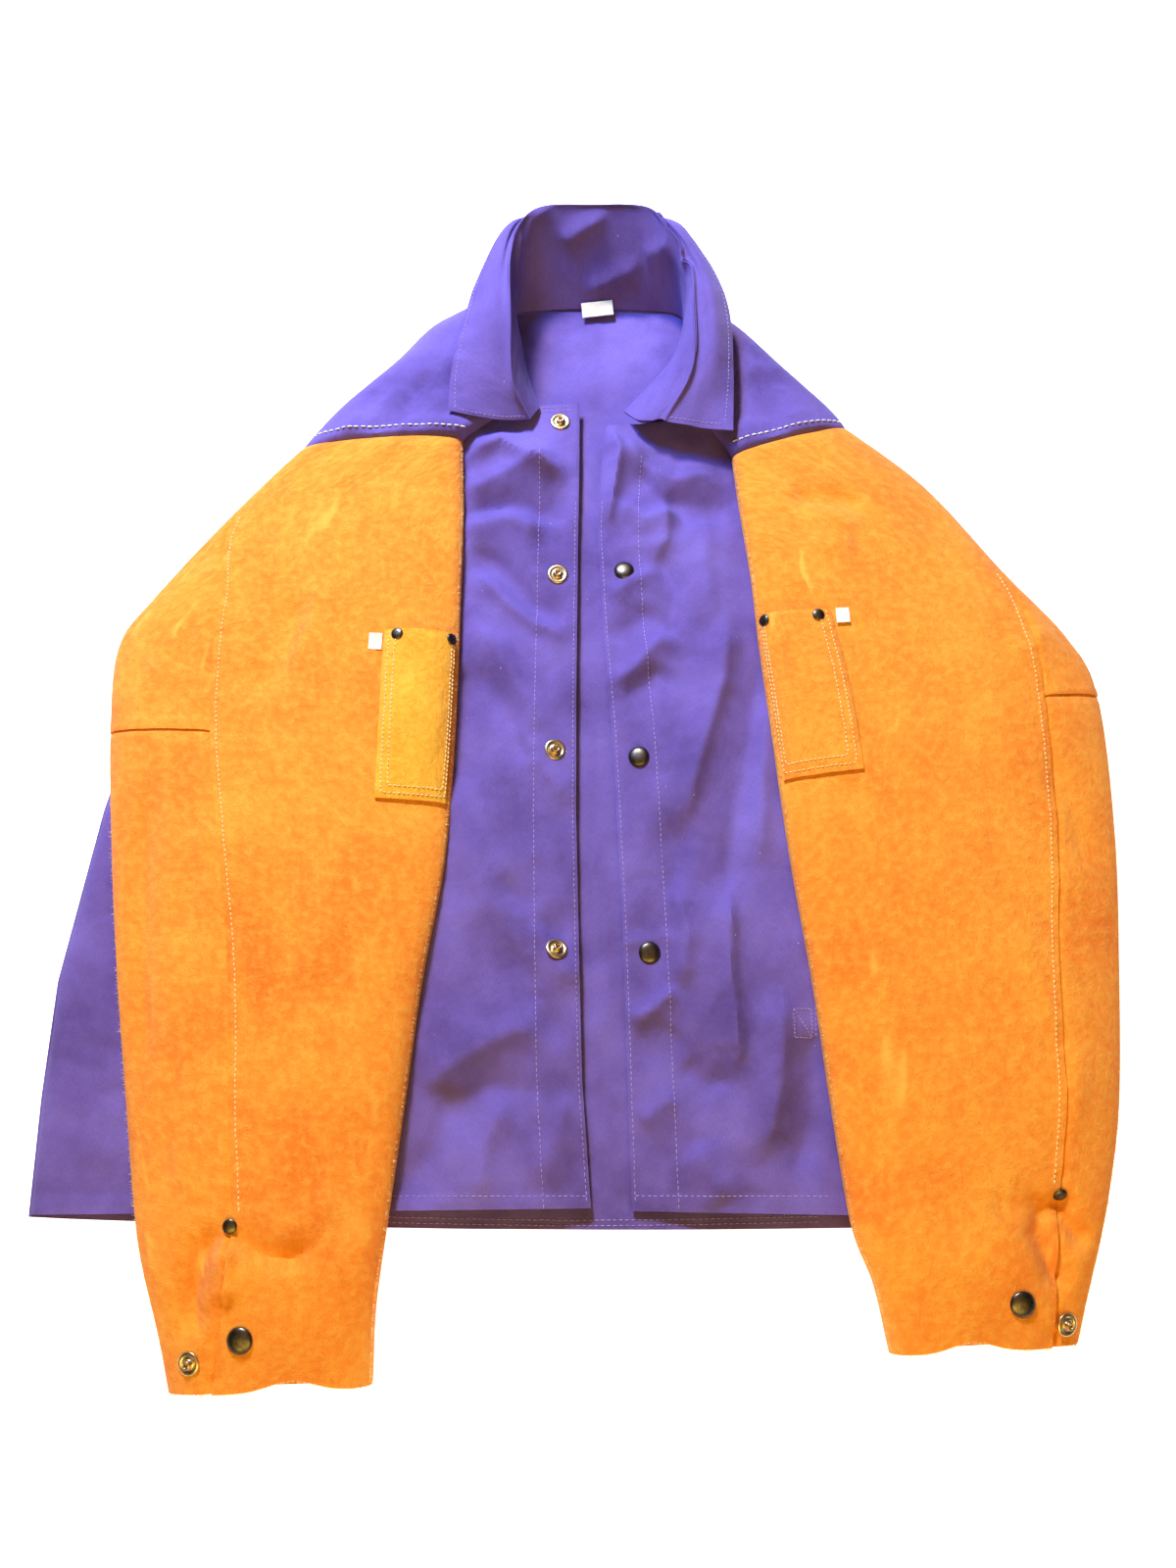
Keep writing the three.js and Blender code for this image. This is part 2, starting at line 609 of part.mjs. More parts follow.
// The stand rises from the neckline to just short of the roll line. Its columns run from the foot up,
// so its outer face looks into the neck.
const rollDrop = new THREE.Vector3(0, 0, -collarCloth - 0.6);
const neckMiddle = onBack(8, 706);
const standGrid = stations.map(({ foot, roll }) => {
  const inward = neckMiddle.clone().sub(roll).setZ(0).setLength(1.6);
  const top = roll.clone().add(rollDrop).add(inward);
  const line = [];
  for (let c = 0; c <= 3; c++) line.push(foot.clone().lerp(top, c / 3));
  return line.reverse();
});
addPiece("collar_stand", sheet(standGrid, collarCloth), "cotton");

// The wings slope out and down from the roll line.
function wingGrid(from, to, sign) {
  const grid = [];
  for (let k = from; k !== to + Math.sign(to - from); k += Math.sign(to - from)) {
    const { roll, edge } = stations[k];
    const line = [];
    for (let c = 0; c <= 3; c++) {
      const p = edge.clone().lerp(roll, c / 3);
      p.z += 3 * Math.sin((Math.PI * c) / 3);
      line.push(p);
    }
    grid.push(sign > 0 ? line.reverse() : line);
  }
  return grid;
}
addPiece("right_collar_wing", sheet(wingGrid(0, wingStations - 1, -1), collarCloth), "cotton");
addPiece(
  "left_collar_wing",
  sheet(wingGrid(lastStation, lastStation - wingStations + 1, 1), collarCloth),
  "cotton",
);

// Behind the neck the fall stands up against the stand and reaches down to the table.
const fallGrid = stations.slice(wingStations, lastStation - wingStations + 1).map(({ roll, edge }) => {
  const foot = edge.clone().setZ(5);
  const top = roll.clone().add(rollDrop);
  const out = new THREE.Vector3(top.x - neckMiddle.x, top.y - neckMiddle.y, 0).setLength(3.9);
  top.add(out);
  const line = [];
  for (let c = 0; c <= 3; c++) {
    const p = foot.clone().lerp(top, c / 3);
    line.push(p);
  }
  return line;
});
addPiece("collar_back_fall", sheet(fallGrid, collarCloth), "cotton");

// Blank neck label, on the inner face of the stand just above the neck seam.
const labelStation = 6;
const labelShare = 0.14;
const labelFace = standGrid[labelStation];
const labelNormal = gridNormal(standGrid, labelStation, 2);
const label = addPiece("neck_label", new THREE.BoxGeometry(26, 12, 0.8), "label");
label.quaternion.setFromUnitVectors(new THREE.Vector3(0, 0, 1), labelNormal);
label.position.copy(labelFace[3].clone().lerp(labelFace[0], labelShare));
label.position.addScaledVector(labelNormal, 0.4 + 2 * seamGap);

// ---------------------------------------------------------------- origin
// The part's origin is the middle of its footprint, on the surface it lies on.
const extent = new THREE.Box3().setFromObject(draft);
draft.position.set(
  -(extent.min.x + extent.max.x) / 2,
  -(extent.min.y + extent.max.y) / 2,
  -extent.min.z,
);

export default jacket;
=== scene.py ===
import math

import bpy
import numpy as np
from mathutils import Matrix, Vector


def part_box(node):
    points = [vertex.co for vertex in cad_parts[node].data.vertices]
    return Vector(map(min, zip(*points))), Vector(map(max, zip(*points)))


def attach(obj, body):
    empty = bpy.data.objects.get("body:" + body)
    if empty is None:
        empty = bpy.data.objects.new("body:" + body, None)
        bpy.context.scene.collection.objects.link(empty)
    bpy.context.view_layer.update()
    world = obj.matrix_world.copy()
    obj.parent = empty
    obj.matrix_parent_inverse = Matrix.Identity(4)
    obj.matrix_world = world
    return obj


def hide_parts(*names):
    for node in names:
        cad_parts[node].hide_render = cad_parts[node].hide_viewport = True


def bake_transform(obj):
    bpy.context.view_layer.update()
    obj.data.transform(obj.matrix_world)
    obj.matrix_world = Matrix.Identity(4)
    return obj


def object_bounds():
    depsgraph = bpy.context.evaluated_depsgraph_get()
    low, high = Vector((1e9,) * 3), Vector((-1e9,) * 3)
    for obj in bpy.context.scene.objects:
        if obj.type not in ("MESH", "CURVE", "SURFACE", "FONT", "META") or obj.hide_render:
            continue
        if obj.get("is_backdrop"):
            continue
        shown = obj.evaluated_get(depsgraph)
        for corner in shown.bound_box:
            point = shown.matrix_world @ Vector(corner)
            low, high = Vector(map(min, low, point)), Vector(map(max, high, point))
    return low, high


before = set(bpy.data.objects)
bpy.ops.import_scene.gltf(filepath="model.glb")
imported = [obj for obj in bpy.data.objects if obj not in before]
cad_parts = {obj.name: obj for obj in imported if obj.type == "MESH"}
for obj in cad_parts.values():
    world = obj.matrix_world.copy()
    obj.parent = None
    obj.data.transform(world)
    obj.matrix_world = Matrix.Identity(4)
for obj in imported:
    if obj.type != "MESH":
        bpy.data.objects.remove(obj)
cad_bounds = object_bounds()

back_low, back_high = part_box("back_panel")
PATTERN_SHIFT = np.array([back_low.x * 1000 + 383, back_high.y * 1000 - 757, 0.0])


def metres(points):
    return (np.asarray(points, float) + PATTERN_SHIFT) / 1000


# ---------------------------------------------------------------- sizes, in millimetres
COTTON = 1.3
LEATHER = 1.8
COLLAR = 2.0
BACK_TOP = 1.5
FRONT_TOP = 15.0
SIDE_FOOT = 2.8
SLEEVE_BASE = 18.2
CUFF_BASE = SLEEVE_BASE / 4
SLEEVE_LOFT = 24.0
ARCH_POWER = 2.6
STITCH_INSET = 32.0  # facing stitches to the front edge
LINING = 0.9  # thin cloth of the facings and the inside pocket
FACING_WIDTH = 36.0
SIDE_ROLL = 16.0  # width of the rounded side of a front
FRONT_HEM, BACK_HEM = 15, 4  # heights of the cut hems
FOLD_BEND = 9.0  # half the width of the span across a front's fold line
ARMHOLE_BEND = 34.0  # length of the span down a sleeve from the shoulder seam
CUFF_BEND = 3.0
SNAP_RADIUS, CUFF_SNAP_RADIUS = 7.95, 8.6
CAP_INSET, STUD_INSET = 19, 16  # snaps to the front edges
FINE_THREAD, LEATHER_THREAD, HEAVY_THREAD, FIBRE = 0.30, 0.50, 0.72, 0.12  # radii
FOLD_DEPTH = 3.4  # how much deeper the drawn folds of a front are than their listed heights
SAG_LIMIT = 7.0  # a fold of a front sinks no lower than this, above the back

# ---------------------------------------------------------------- smooth shapes


def ease(t):
    t = np.clip(t, 0, 1)
    return t * t * (3 - 2 * t)


def between(a, b, c, d, f):
    """A smooth curve from b to c, at a share f, with a before them and d after."""
    return 0.5 * (
        2 * b + (c - a) * f + (2 * a - 5 * b + 4 * c - d) * f**2 + (3 * b - a - 3 * c + d) * f**3
    )


def through(points, t):
    """A smooth curve through its points, which lie at the whole values of t."""
    p = np.asarray(points, float)
    last = len(p) - 1
    t = np.clip(np.asarray(t, float), 0, last)
    k = np.minimum(t.astype(int), last - 1)
    f = (t - k)[..., None]
    padded = np.vstack([2 * p[0] - p[1], p, 2 * p[-1] - p[-2]])
    return between(*(padded[k + j] for j in range(4)), f)


def outline_at(points, y):
    """The x of an outline, listed from the hem up, at a height y."""
    p = np.asarray(points, float)
    return np.interp(y, p[:, 1], p[:, 0])


LATTICE = np.random.default_rng(4).uniform(-1, 1, (8, 64, 64))


def billow(x, y, size, layer):
    """Soft random swells from -1 to 1, about one size across."""
    u = x / size + 7.31 * layer
    v = y / size + 3.17 * layer
    i, j = np.floor(u).astype(int), np.floor(v).astype(int)
    s, t = ease(u - i), ease(v - j)
    field = LATTICE[layer % len(LATTICE)]
    corner = lambda a, b: field[(i + a) % 64, (j + b) % 64]
    low = corner(0, 0) * (1 - s) + corner(1, 0) * s
    high = corner(0, 1) * (1 - s) + corner(1, 1) * s
    return low * (1 - t) + high * t


def beside(x, y, line):
    """Distance to a line of points, the side of it, and how far along it, from 0 to 1."""
    p = np.asarray(line, float)
    steps = p[1:] - p[:-1]
    lengths = np.hypot(steps[:, 0], steps[:, 1])
    done = 0.0
    best = np.full(np.shape(x), 1e9)
    side = np.ones(np.shape(x))
    share = np.zeros(np.shape(x))
    for start, step, length in zip(p, steps, lengths):
        dx, dy = x - start[0], y - start[1]
        t = np.clip((dx * step[0] + dy * step[1]) / length**2, 0, 1)
        d = np.hypot(dx - t * step[0], dy - t * step[1])
        near = d < best
        best = np.where(near, d, best)
        side = np.where(near, np.sign(step[0] * dy - step[1] * dx), side)
        share = np.where(near, (done + t * length) / lengths.sum(), share)
        done += length
    return best, side, share


def folds(x, y, table, crispness=2.0):
    """Sum of folds: each has a line, a height, and how wide it is on its left and its right side."""
    total = np.zeros(np.shape(x))
    for line, height, left, right in table:
        d, side, share = beside(x, y, line)
        width = np.where(side > 0, left, right)
        ends = ease(share / 0.25) * ease((1 - share) / 0.25)
        total += height * np.exp(-((d / width) ** crispness)) * ends
    return total


def pucker(distance, s, layer, reach=9.0, size=7.0):
    """Small gathers that a line of stitches draws into cloth."""
    return np.exp(-((distance / reach) ** 2)) * billow(s, distance * 0.15, size, layer)


def surface_normal(surface, a, b, step_a, step_b):
    along = surface(a + step_a, b) - surface(a - step_a, b)
    up = surface(a, b + step_b) - surface(a, b - step_b)
    n = np.cross(along, up)
    return n / np.linalg.norm(n, axis=-1, keepdims=True)


# ---------------------------------------------------------------- meshes


def new_object(name, vertices, faces, uv=None, sharp=45):
    """A smooth-shaded mesh of quads, from points in metres."""
    mesh = bpy.data.meshes.new(name)
    faces = np.asarray(faces, np.int32)
    mesh.vertices.add(len(vertices))
    mesh.vertices.foreach_set("co", np.asarray(vertices, np.float32).ravel())
    mesh.loops.add(faces.size)
    mesh.loops.foreach_set("vertex_index", faces.ravel())
    mesh.polygons.add(len(faces))
    mesh.polygons.foreach_set("loop_start", np.arange(len(faces), dtype=np.int32) * faces.shape[1])
    mesh.update(calc_edges=True)
    mesh.polygons.foreach_set("use_smooth", np.ones(len(faces), bool))
    if uv is not None:
        layer = mesh.uv_layers.new(name="cloth")
        layer.data.foreach_set("uv", np.asarray(uv, np.float32)[faces.ravel()].ravel())
    mesh.set_sharp_from_angle(angle=math.radians(sharp))
    mesh.update()
    made = bpy.data.objects.new(name, mesh)
    bpy.context.scene.collection.objects.link(made)
    return made


def grid_normals(top):
    n = np.cross(np.gradient(top, axis=1), np.gradient(top, axis=0))
    return n / np.maximum(np.linalg.norm(n, axis=-1, keepdims=True), 1e-9)


def closed_sheet(name, top, thickness, keep=None, uv=None, flip=None):
    """A sheet with two faces and a rim, from a grid of points on its outer face."""
    rows, columns = top.shape[:2]
    normals = grid_normals(top)
    if flip is None:
        flip = normals[..., 2].mean() < 0
    normals = -normals if flip else normals
    under = top - normals * thickness
    if keep is None:
        keep = np.ones((rows - 1, columns - 1), bool)
    index = np.arange(rows * columns).reshape(rows, columns)
    quads = np.stack(
        [index[:-1, :-1], index[:-1, 1:], index[1:, 1:], index[1:, :-1]], axis=-1
    )[keep]
    if flip:
        quads = quads[:, ::-1]
    edges = np.concatenate([quads[:, [k, (k + 1) % 4]] for k in range(4)])
    codes = edges[:, 0].astype(np.int64) * index.size + edges[:, 1]
    reverse = edges[:, 1].astype(np.int64) * index.size + edges[:, 0]
    border = edges[~np.isin(codes, reverse)]
    count = index.size
    rim = np.stack([border[:, 1], border[:, 0], border[:, 0] + count, border[:, 1] + count], axis=-1)
    faces = np.concatenate([quads, quads[:, ::-1] + count, rim])
    points = np.concatenate([top.reshape(-1, 3), under.reshape(-1, 3)])
    flat = top[..., :2] if uv is None else uv
    flat = np.concatenate([flat.reshape(-1, 2)] * 2) / 1000
    used, faces = np.unique(faces, return_inverse=True)
    return new_object(name, metres(points[used]), faces.reshape(-1, 4), flat[used])


def lathe(name, profile, centre, normal, segments=48):
    """A turned piece: radius and height pairs, from the axis at its foot round to the axis at its top."""
    profile = np.asarray(profile, float)
    angles = np.linspace(0, 2 * math.pi, segments, endpoint=False)
    ring = np.stack([np.cos(angles), np.sin(angles)], axis=-1)
    points = [[0, 0, profile[0, 1]]]
    for radius, height in profile[1:-1]:
        points.extend(np.column_stack([ring * radius, np.full(segments, height)]))
    points.append([0, 0, profile[-1, 1]])
    faces = []
    rings = len(profile) - 2
    for k in range(segments):
        after = (k + 1) % segments
        faces.append([0, 1 + after, 1 + k])
        for r in range(rings - 1):
            a, b = 1 + r * segments, 1 + (r + 1) * segments
            faces.append([a + k, a + after, b + after, b + k])
        a = 1 + (rings - 1) * segments
        faces.append([a + k, a + after, len(points) - 1])
    mesh = bpy.data.meshes.new(name)
    mesh.from_pydata((np.asarray(points) / 1000).tolist(), [], faces)
    mesh.polygons.foreach_set("use_smooth", np.ones(len(mesh.polygons), bool))
    mesh.set_sharp_from_angle(angle=math.radians(50))
    made = bpy.data.objects.new(name, mesh)
    bpy.context.scene.collection.objects.link(made)
    turn = Vector((0, 0, 1)).rotation_difference(Vector(normal)).to_matrix().to_4x4()
    mesh.transform(Matrix.Translation(Vector(metres(centre))) @ turn)
    return made


STITCH_STATIONS = ((0.0, 0.3, 0.0), (0.12, 0.85, 0.5), (0.5, 1.0, 1.0), (0.88, 0.85, 0.5), (1.0, 0.3, 0.0))
FIBRE_STATIONS = ((0.0, 1.0, 0.5), (1.0, 0.5, 0.5))


def rods(name, starts, ends, normals, radius, stations=STITCH_STATIONS, sides=6, bulge=0.35):
    """Many short rounded rods in one mesh, each from a start to an end.

    A station is a share of the length, a share of the girth and how far it arches up."""
    starts, ends, normals = (np.asarray(v, float) for v in (starts, ends, normals))
    axis = ends - starts
    across = np.cross(normals, axis)
    across /= np.linalg.norm(across, axis=1, keepdims=True)
    rings = []
    for share, girth, rise in stations:
        centre = starts + axis * share + normals * radius * bulge * (2 * rise - 1)
        for angle in np.linspace(0, 2 * math.pi, sides, endpoint=False):
            rings.append(centre + (across * math.cos(angle) + normals * math.sin(angle)) * girth * radius)
    points = np.stack(rings, axis=1)
    faces = []
    for a in range(0, (len(stations) - 1) * sides, sides):
        for k in range(sides):
            after = (k + 1) % sides
            faces.append([a + k, a + sides + k, a + sides + after, a + after])
    last = (len(stations) - 1) * sides
    for k in range(1, sides - 2, 2):
        cap = [0, k, k + 1, k + 2]
        faces += [cap, [last + corner for corner in reversed(cap)]]
    each = len(stations) * sides
    faces = (np.asarray(faces)[None] + (np.arange(len(starts)) * each)[:, None, None]).reshape(-1, 4)
    return new_object(name, metres(points.reshape(-1, 3)), faces, sharp=80)


class Seams:
    """Stitches collected along lines on surfaces, then made as one piece."""

    def __init__(self, seed):
        self.random = np.random.default_rng(seed)
        self.starts, self.ends, self.normals = [], [], []

    def run(self, surface, line, pitch=3.9, share=0.68, steps=(1.0, 1.0), lift=0.12, curve=True):
        """Stitches along a line of two surface coordinates."""
        line = np.asarray(line, float)
        t = np.linspace(0, len(line) - 1, 60 * len(line))
        places = through(line, t) if curve and len(line) > 2 else np.column_stack(
            [np.interp(t, np.arange(len(line)), line[:, k]) for k in (0, 1)]
        )
        points = surface(places[:, 0], places[:, 1])
        run = np.concatenate([[0], np.cumsum(np.linalg.norm(np.diff(points, axis=0), axis=1))])
        count = max(2, int(run[-1] / pitch))
        begin = (np.arange(count) + 0.5 * (1 - share) + self.random.uniform(-0.04, 0.04, count)) * pitch
        finish = begin + pitch * (share + self.random.uniform(-0.05, 0.05, count))
        at = lambda s: np.column_stack([np.interp(s, run, places[:, k]) for k in (0, 1)])
        first, second = at(begin), at(finish)
        middle = (first + second) / 2
        n = surface_normal(surface, middle[:, 0], middle[:, 1], *steps)
        if n[:, 2].mean() < 0:
            n = -n
        wander = self.random.uniform(-0.18, 0.18, (count, 1)) * np.array([[1.0, 0.6, 0]])
        self.starts.append(surface(first[:, 0], first[:, 1]) + n * lift + wander)
        self.ends.append(surface(second[:, 0], second[:, 1]) + n * lift + wander)
        self.normals.append(n)

    def make(self, name, radius):
        starts, ends, normals = (np.concatenate(v) for v in (self.starts, self.ends, self.normals))
        return rods(name, starts, ends, normals, radius)


# ---------------------------------------------------------------- finishes


class Socket:
    """A number that varies over a surface. Sums on it add Math nodes."""

    def __init__(self, finish, socket):
        self.finish, self.socket = finish, socket

    def _math(self, operation, a, b):
        return self.finish.node("ShaderNodeMath", {"operation": operation}, [a, b])

    def __add__(self, other):
        return self._math("ADD", self, other)

    def __mul__(self, other):
        return self._math("MULTIPLY", self, other)

    def __gt__(self, other):
        return self._math("GREATER_THAN", self, other)

    def __lt__(self, other):
        return self._math("LESS_THAN", self, other)

    __radd__, __rmul__ = __add__, __mul__


class Finish:
    """A material made of nodes."""

    def __init__(self, name, **constants):
        self.material = bpy.data.materials.new(name)
        self.material.use_nodes = True
        self.tree = self.material.node_tree
        self.shader = self.tree.nodes["Principled BSDF"]
        for socket, value in constants.items():
            self.shader.inputs[socket.replace("_", " ")].default_value = value

    def node(self, kind, settings=None, inputs=(), output=0):
        """One node: its settings first, then the values or links of its sockets, by place or by name."""
        made = self.tree.nodes.new(kind)
        for name, value in (settings or {}).items():
            if name == "stops":
                ramp = made.color_ramp
                while len(ramp.elements) < len(value):
                    ramp.elements.new(0.5)
                for element, (place, colour) in zip(ramp.elements, value):
                    element.position = place
                    element.color = colour
            else:
                setattr(made, name, value)
        pairs = inputs.items() if isinstance(inputs, dict) else enumerate(inputs)
        for key, value in pairs:
            if isinstance(value, Socket):
                self.tree.links.new(value.socket, made.inputs[key])
            else:
                made.inputs[key].default_value = value
        return Socket(self, made.outputs[output])

    def place(self, kind="UV", scale=(1, 1, 1), turn=0.0):
        found = self.node("ShaderNodeTexCoord", output=kind)
        return self.node(
            "ShaderNodeMapping", inputs={"Vector": found, "Scale": scale, "Rotation": (0, 0, turn)}
        )

    def noise(self, where, scale, detail=2.0, roughness=0.5, distortion=0.0):
        return self.node(
            "ShaderNodeTexNoise",
            inputs={
                "Vector": where, "Scale": scale, "Detail": detail,
                "Roughness": roughness, "Distortion": distortion,
            },
        )

    def dots(self, where, scale):
        """Distance to the nearest of many scattered points."""
        return self.node(
            "ShaderNodeTexVoronoi", {"feature": "F1"}, {"Vector": where, "Scale": scale, "Randomness": 1.0}
        )

    def ramp(self, value, *stops):
        return self.node("ShaderNodeValToRGB", {"stops": stops}, [value])

    def spread(self, value, low, high, start=0.0, end=1.0):
        """The value's range low to high, stretched to start to end."""
        return self.node("ShaderNodeMapRange", {}, [value, low, high, start, end])

    def mix(self, share, a, b):
        return self.node("ShaderNodeMix", {"data_type": "RGBA"}, {0: share, 6: a, 7: b}, output=2)

    def bump(self, height, strength, distance, normal=None):
        inputs = {"Strength": strength, "Distance": distance, "Height": height}
        if normal is not None:
            inputs["Normal"] = normal
        return self.node("ShaderNodeBump", {}, inputs)

    def feed(self, **sockets):
        for name, value in sockets.items():
            self.tree.links.new(value.socket, self.shader.inputs[name.replace("_", " ")])
        return self.material


def shade(r, g, b):
    return (r, g, b, 1.0)


def cotton_finish(name, deep, mid, light):
    """Twill-woven cotton: fine slanting ribs, cloudy dye, lint and slubs."""
    f = Finish(
        name, Roughness=0.85, Sheen_Weight=0.12, Sheen_Roughness=0.5, Specular_IOR_Level=0.2,
        Sheen_Tint=shade(0.6, 0.55, 1.0),
    )
    cloth = f.place()
    slant = f.place(turn=0.62)
    ribs = f.node(
        "ShaderNodeTexWave", {"wave_type": "BANDS", "bands_direction": "X"},
        {"Vector": slant, "Scale": 420.0, "Distortion": 1.2, "Detail": 1.5, "Detail Scale": 2.0},
        output=1,
    )
    yarn = f.noise(f.place(scale=(1, 0.22, 1)), 1500.0, 3.0, 0.6)
    cross = f.noise(f.place(scale=(0.22, 1, 1)), 1300.0, 3.0, 0.6)
    clouds = f.noise(cloth, 11.0, 4.0, 0.55)
    patches = f.noise(cloth, 46.0, 3.0, 0.6)
    body = f.ramp(clouds, (0.32, deep), (0.5, mid), (0.7, light))
    body = f.mix(f.spread(patches, 0.42, 0.75, 0.0, 0.4), body, light)
    body = f.mix(f.spread(yarn, 0.35, 0.65, 0.0, 0.30), body, deep)
    body = f.mix(f.spread(cross, 0.5, 0.75, 0.0, 0.22), body, light)
    body = f.mix(ribs * 0.16, body, light)
    lint = f.dots(cloth, 85.0) < 0.035
    picked = f.noise(cloth, 60.0, 0.0) > 0.60
    body = f.mix(lint * picked * 0.7, body, shade(0.75, 0.70, 0.85))
    weave = ribs * 0.5 + yarn * 0.5 + cross * 0.35
    fine = f.bump(weave, 0.5, 0.0004)
    creases = f.noise(f.place(scale=(1, 0.6, 1), turn=0.5), 75.0, 4.0, 0.6, 0.6)
    soft = f.bump(creases, 0.5, 0.0016, fine)
    return f.feed(Base_Color=body, Normal=soft, Roughness=f.spread(patches, 0.3, 0.7, 0.78, 0.95))


def suede_finish(name, deep, mid, light, worn):
    """Split leather: a short brushed nap that lies lighter and darker in clouds and strokes."""
    f = Finish(name, Roughness=0.95, Sheen_Weight=0.12, Sheen_Roughness=0.6, Specular_IOR_Level=0.08)
    hide = f.place()
    clouds = f.noise(hide, 9.0, 5.0, 0.62, 0.4)
    strokes = f.noise(f.place(scale=(1.0, 0.35, 1), turn=0.35), 42.0, 4.0, 0.6, 0.8)
    mottle = f.noise(hide, 150.0, 4.0, 0.65)
    nap = f.noise(hide, 900.0, 4.0, 0.7)
    body = f.ramp(clouds, (0.28, deep), (0.5, mid), (0.72, light))
    body = f.mix(f.spread(strokes, 0.5, 0.78, 0.0, 0.6), body, light)
    body = f.mix(f.spread(strokes, 0.5, 0.25, 0.0, 0.4), body, deep)
    body = f.mix(f.spread(mottle, 0.45, 0.72, 0.0, 0.5), body, worn)
    body = f.mix(f.spread(mottle, 0.48, 0.28, 0.0, 0.35), body, deep)
    body = f.mix(f.spread(nap, 0.55, 0.35, 0.0, 0.45), body, deep)
    body = f.mix(f.spread(nap, 0.58, 0.75, 0.0, 0.40), body, worn)
    scuffs = f.noise(f.place(scale=(1.0, 0.25, 1), turn=-0.5), 26.0, 2.0, 0.5, 1.2)
    body = f.mix(f.spread(scuffs, 0.66, 0.74, 0.0, 0.6), body, worn)
    pores = f.dots(hide, 120.0) < 0.05
    body = f.mix(pores * (f.noise(hide, 30.0, 1.0) > 0.56) * 0.55, body, shade(0.28, 0.11, 0.02))
    rough = f.bump(nap, 0.8, 0.0009)
    lumps = f.bump(mottle * 0.8 + strokes * 0.9, 0.55, 0.0028, rough)
    return f.feed(Base_Color=body, Normal=lumps)


def metal_finish(name, base, dark, worn, roughness, grime):
    """Plated metal: a cloudy tint, dark grime in patches, and brighter worn spots."""
    f = Finish(name, Metallic=1.0)
    where = f.place("Object")
    clouds = f.noise(where, 260.0, 4.0, 0.6)
    scratch = f.noise(where, 2600.0, 3.0, 0.7)
    body = f.mix(f.spread(clouds, 0.42, 0.72, 0.0, grime), base, dark)
    body = f.mix(f.spread(scratch, 0.55, 0.75, 0.0, 0.5), body, worn)
    return f.feed(
        Base_Color=body,
        Roughness=f.spread(clouds, 0.3, 0.7, roughness, roughness + 0.18),
        Normal=f.bump(scratch, 0.25, 0.00012),
    )


def thread_finish(name, colour, dusty):
    f = Finish(name, Roughness=0.7, Sheen_Weight=0.2)
    where = f.place("Object")
    twist = f.noise(where, 2400.0, 2.0, 0.6)
    stains = f.noise(where, 70.0, 3.0, 0.6)
    body = f.mix(f.spread(stains, 0.4, 0.7, 0.0, 0.8), colour, dusty)
    return f.feed(Base_Color=body, Normal=f.bump(twist, 0.6, 0.0002))


def tape_finish(name):
    f = Finish(name, Roughness=0.75, Sheen_Weight=0.1)
    where = f.place("Object")
    weave = f.noise(where, 1800.0, 3.0, 0.6)
    stains = f.noise(where, 120.0, 3.0, 0.6)
    body = f.mix(f.spread(stains, 0.45, 0.75, 0.0, 0.5), shade(0.80, 0.74, 0.58), shade(0.66, 0.57, 0.40))
    return f.feed(Base_Color=body, Normal=f.bump(weave, 0.4, 0.0002))


COTTON_FINISH = cotton_finish(
    "blue_cotton", shade(0.078, 0.039, 0.18), shade(0.143, 0.084, 0.33), shade(0.215, 0.142, 0.50)
)
SUEDE_FINISH = suede_finish(
    "split_leather", shade(0.84, 0.180, 0.010), shade(0.94, 0.285, 0.020), shade(0.98, 0.38, 0.034),
    shade(0.99, 0.50, 0.070),
)
POCKET_FINISH = suede_finish(
    "pocket_leather", shade(0.86, 0.29, 0.012), shade(0.95, 0.43, 0.024), shade(0.98, 0.51, 0.04),
    shade(0.99, 0.60, 0.09),
)
BRASS_FINISH = metal_finish(
    "brass", shade(0.74, 0.52, 0.27), shade(0.24, 0.12, 0.05), shade(0.93, 0.80, 0.58), 0.24, 0.75
)
DARK_FINISH = metal_finish(
    "dark_brass", shade(0.13, 0.10, 0.075), shade(0.03, 0.025, 0.025), shade(0.45, 0.33, 0.20), 0.26, 0.8
)
WHITE_THREAD = thread_finish("white_thread", shade(0.86, 0.84, 0.90), shade(0.60, 0.55, 0.70))
GOLD_THREAD = thread_finish("gold_thread", shade(0.96, 0.68, 0.30), shade(0.92, 0.54, 0.16))
VIOLET_THREAD = thread_finish("violet_thread", shade(0.44, 0.32, 0.66), shade(0.26, 0.18, 0.48))
TAPE_FINISH = tape_finish("label_tape")


def finish_piece(obj, material, slot, *nodes):
    obj.data.materials.clear()
    obj.data.materials.append(material)
    if nodes:
        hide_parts(*nodes)
    return obj


def blended(obj, a, b, start, end):
    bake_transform(obj)


# ---------------------------------------------------------------- body pattern
INWARD = {"right": 1, "left": -1}  # sign of x from the side seam of a front to its edge
FOLD_LINE = {"right": ((-110, 14), (-32, 650)), "left": ((122, 14), (22, 655))}
EDGE = {
    "right": ((2, 16), (-4, 100), (-6, 171), (-9, 300), (-9, 399), (-8, 520), (-7, 600), (-7, 652)),
    "left": ((30, 14), (28, 102), (25, 220), (19, 358), (12, 450), (8, 534), (11, 590), (15, 628)),
}
EDGE_FALL = {"right": 0.05, "left": 0.085}  # slope of a front past its fold line
BACK_RIGHT = (
    (-385, 10), (-387, 90), (-386, 171), (-368, 300), (-346, 400), (-303, 470), (-256, 535),
    (-222, 592), (-163, 672), (-98, 742), (-72, 757),
)
BACK_LEFT = (
    (318, 6), (322, 90), (324, 171), (320, 300), (312, 400), (285, 470), (245, 545), (202, 608),
    (158, 672), (104, 742), (92, 757),
)
SIDE_INSET = 2  # side seam of a front to the back's outline
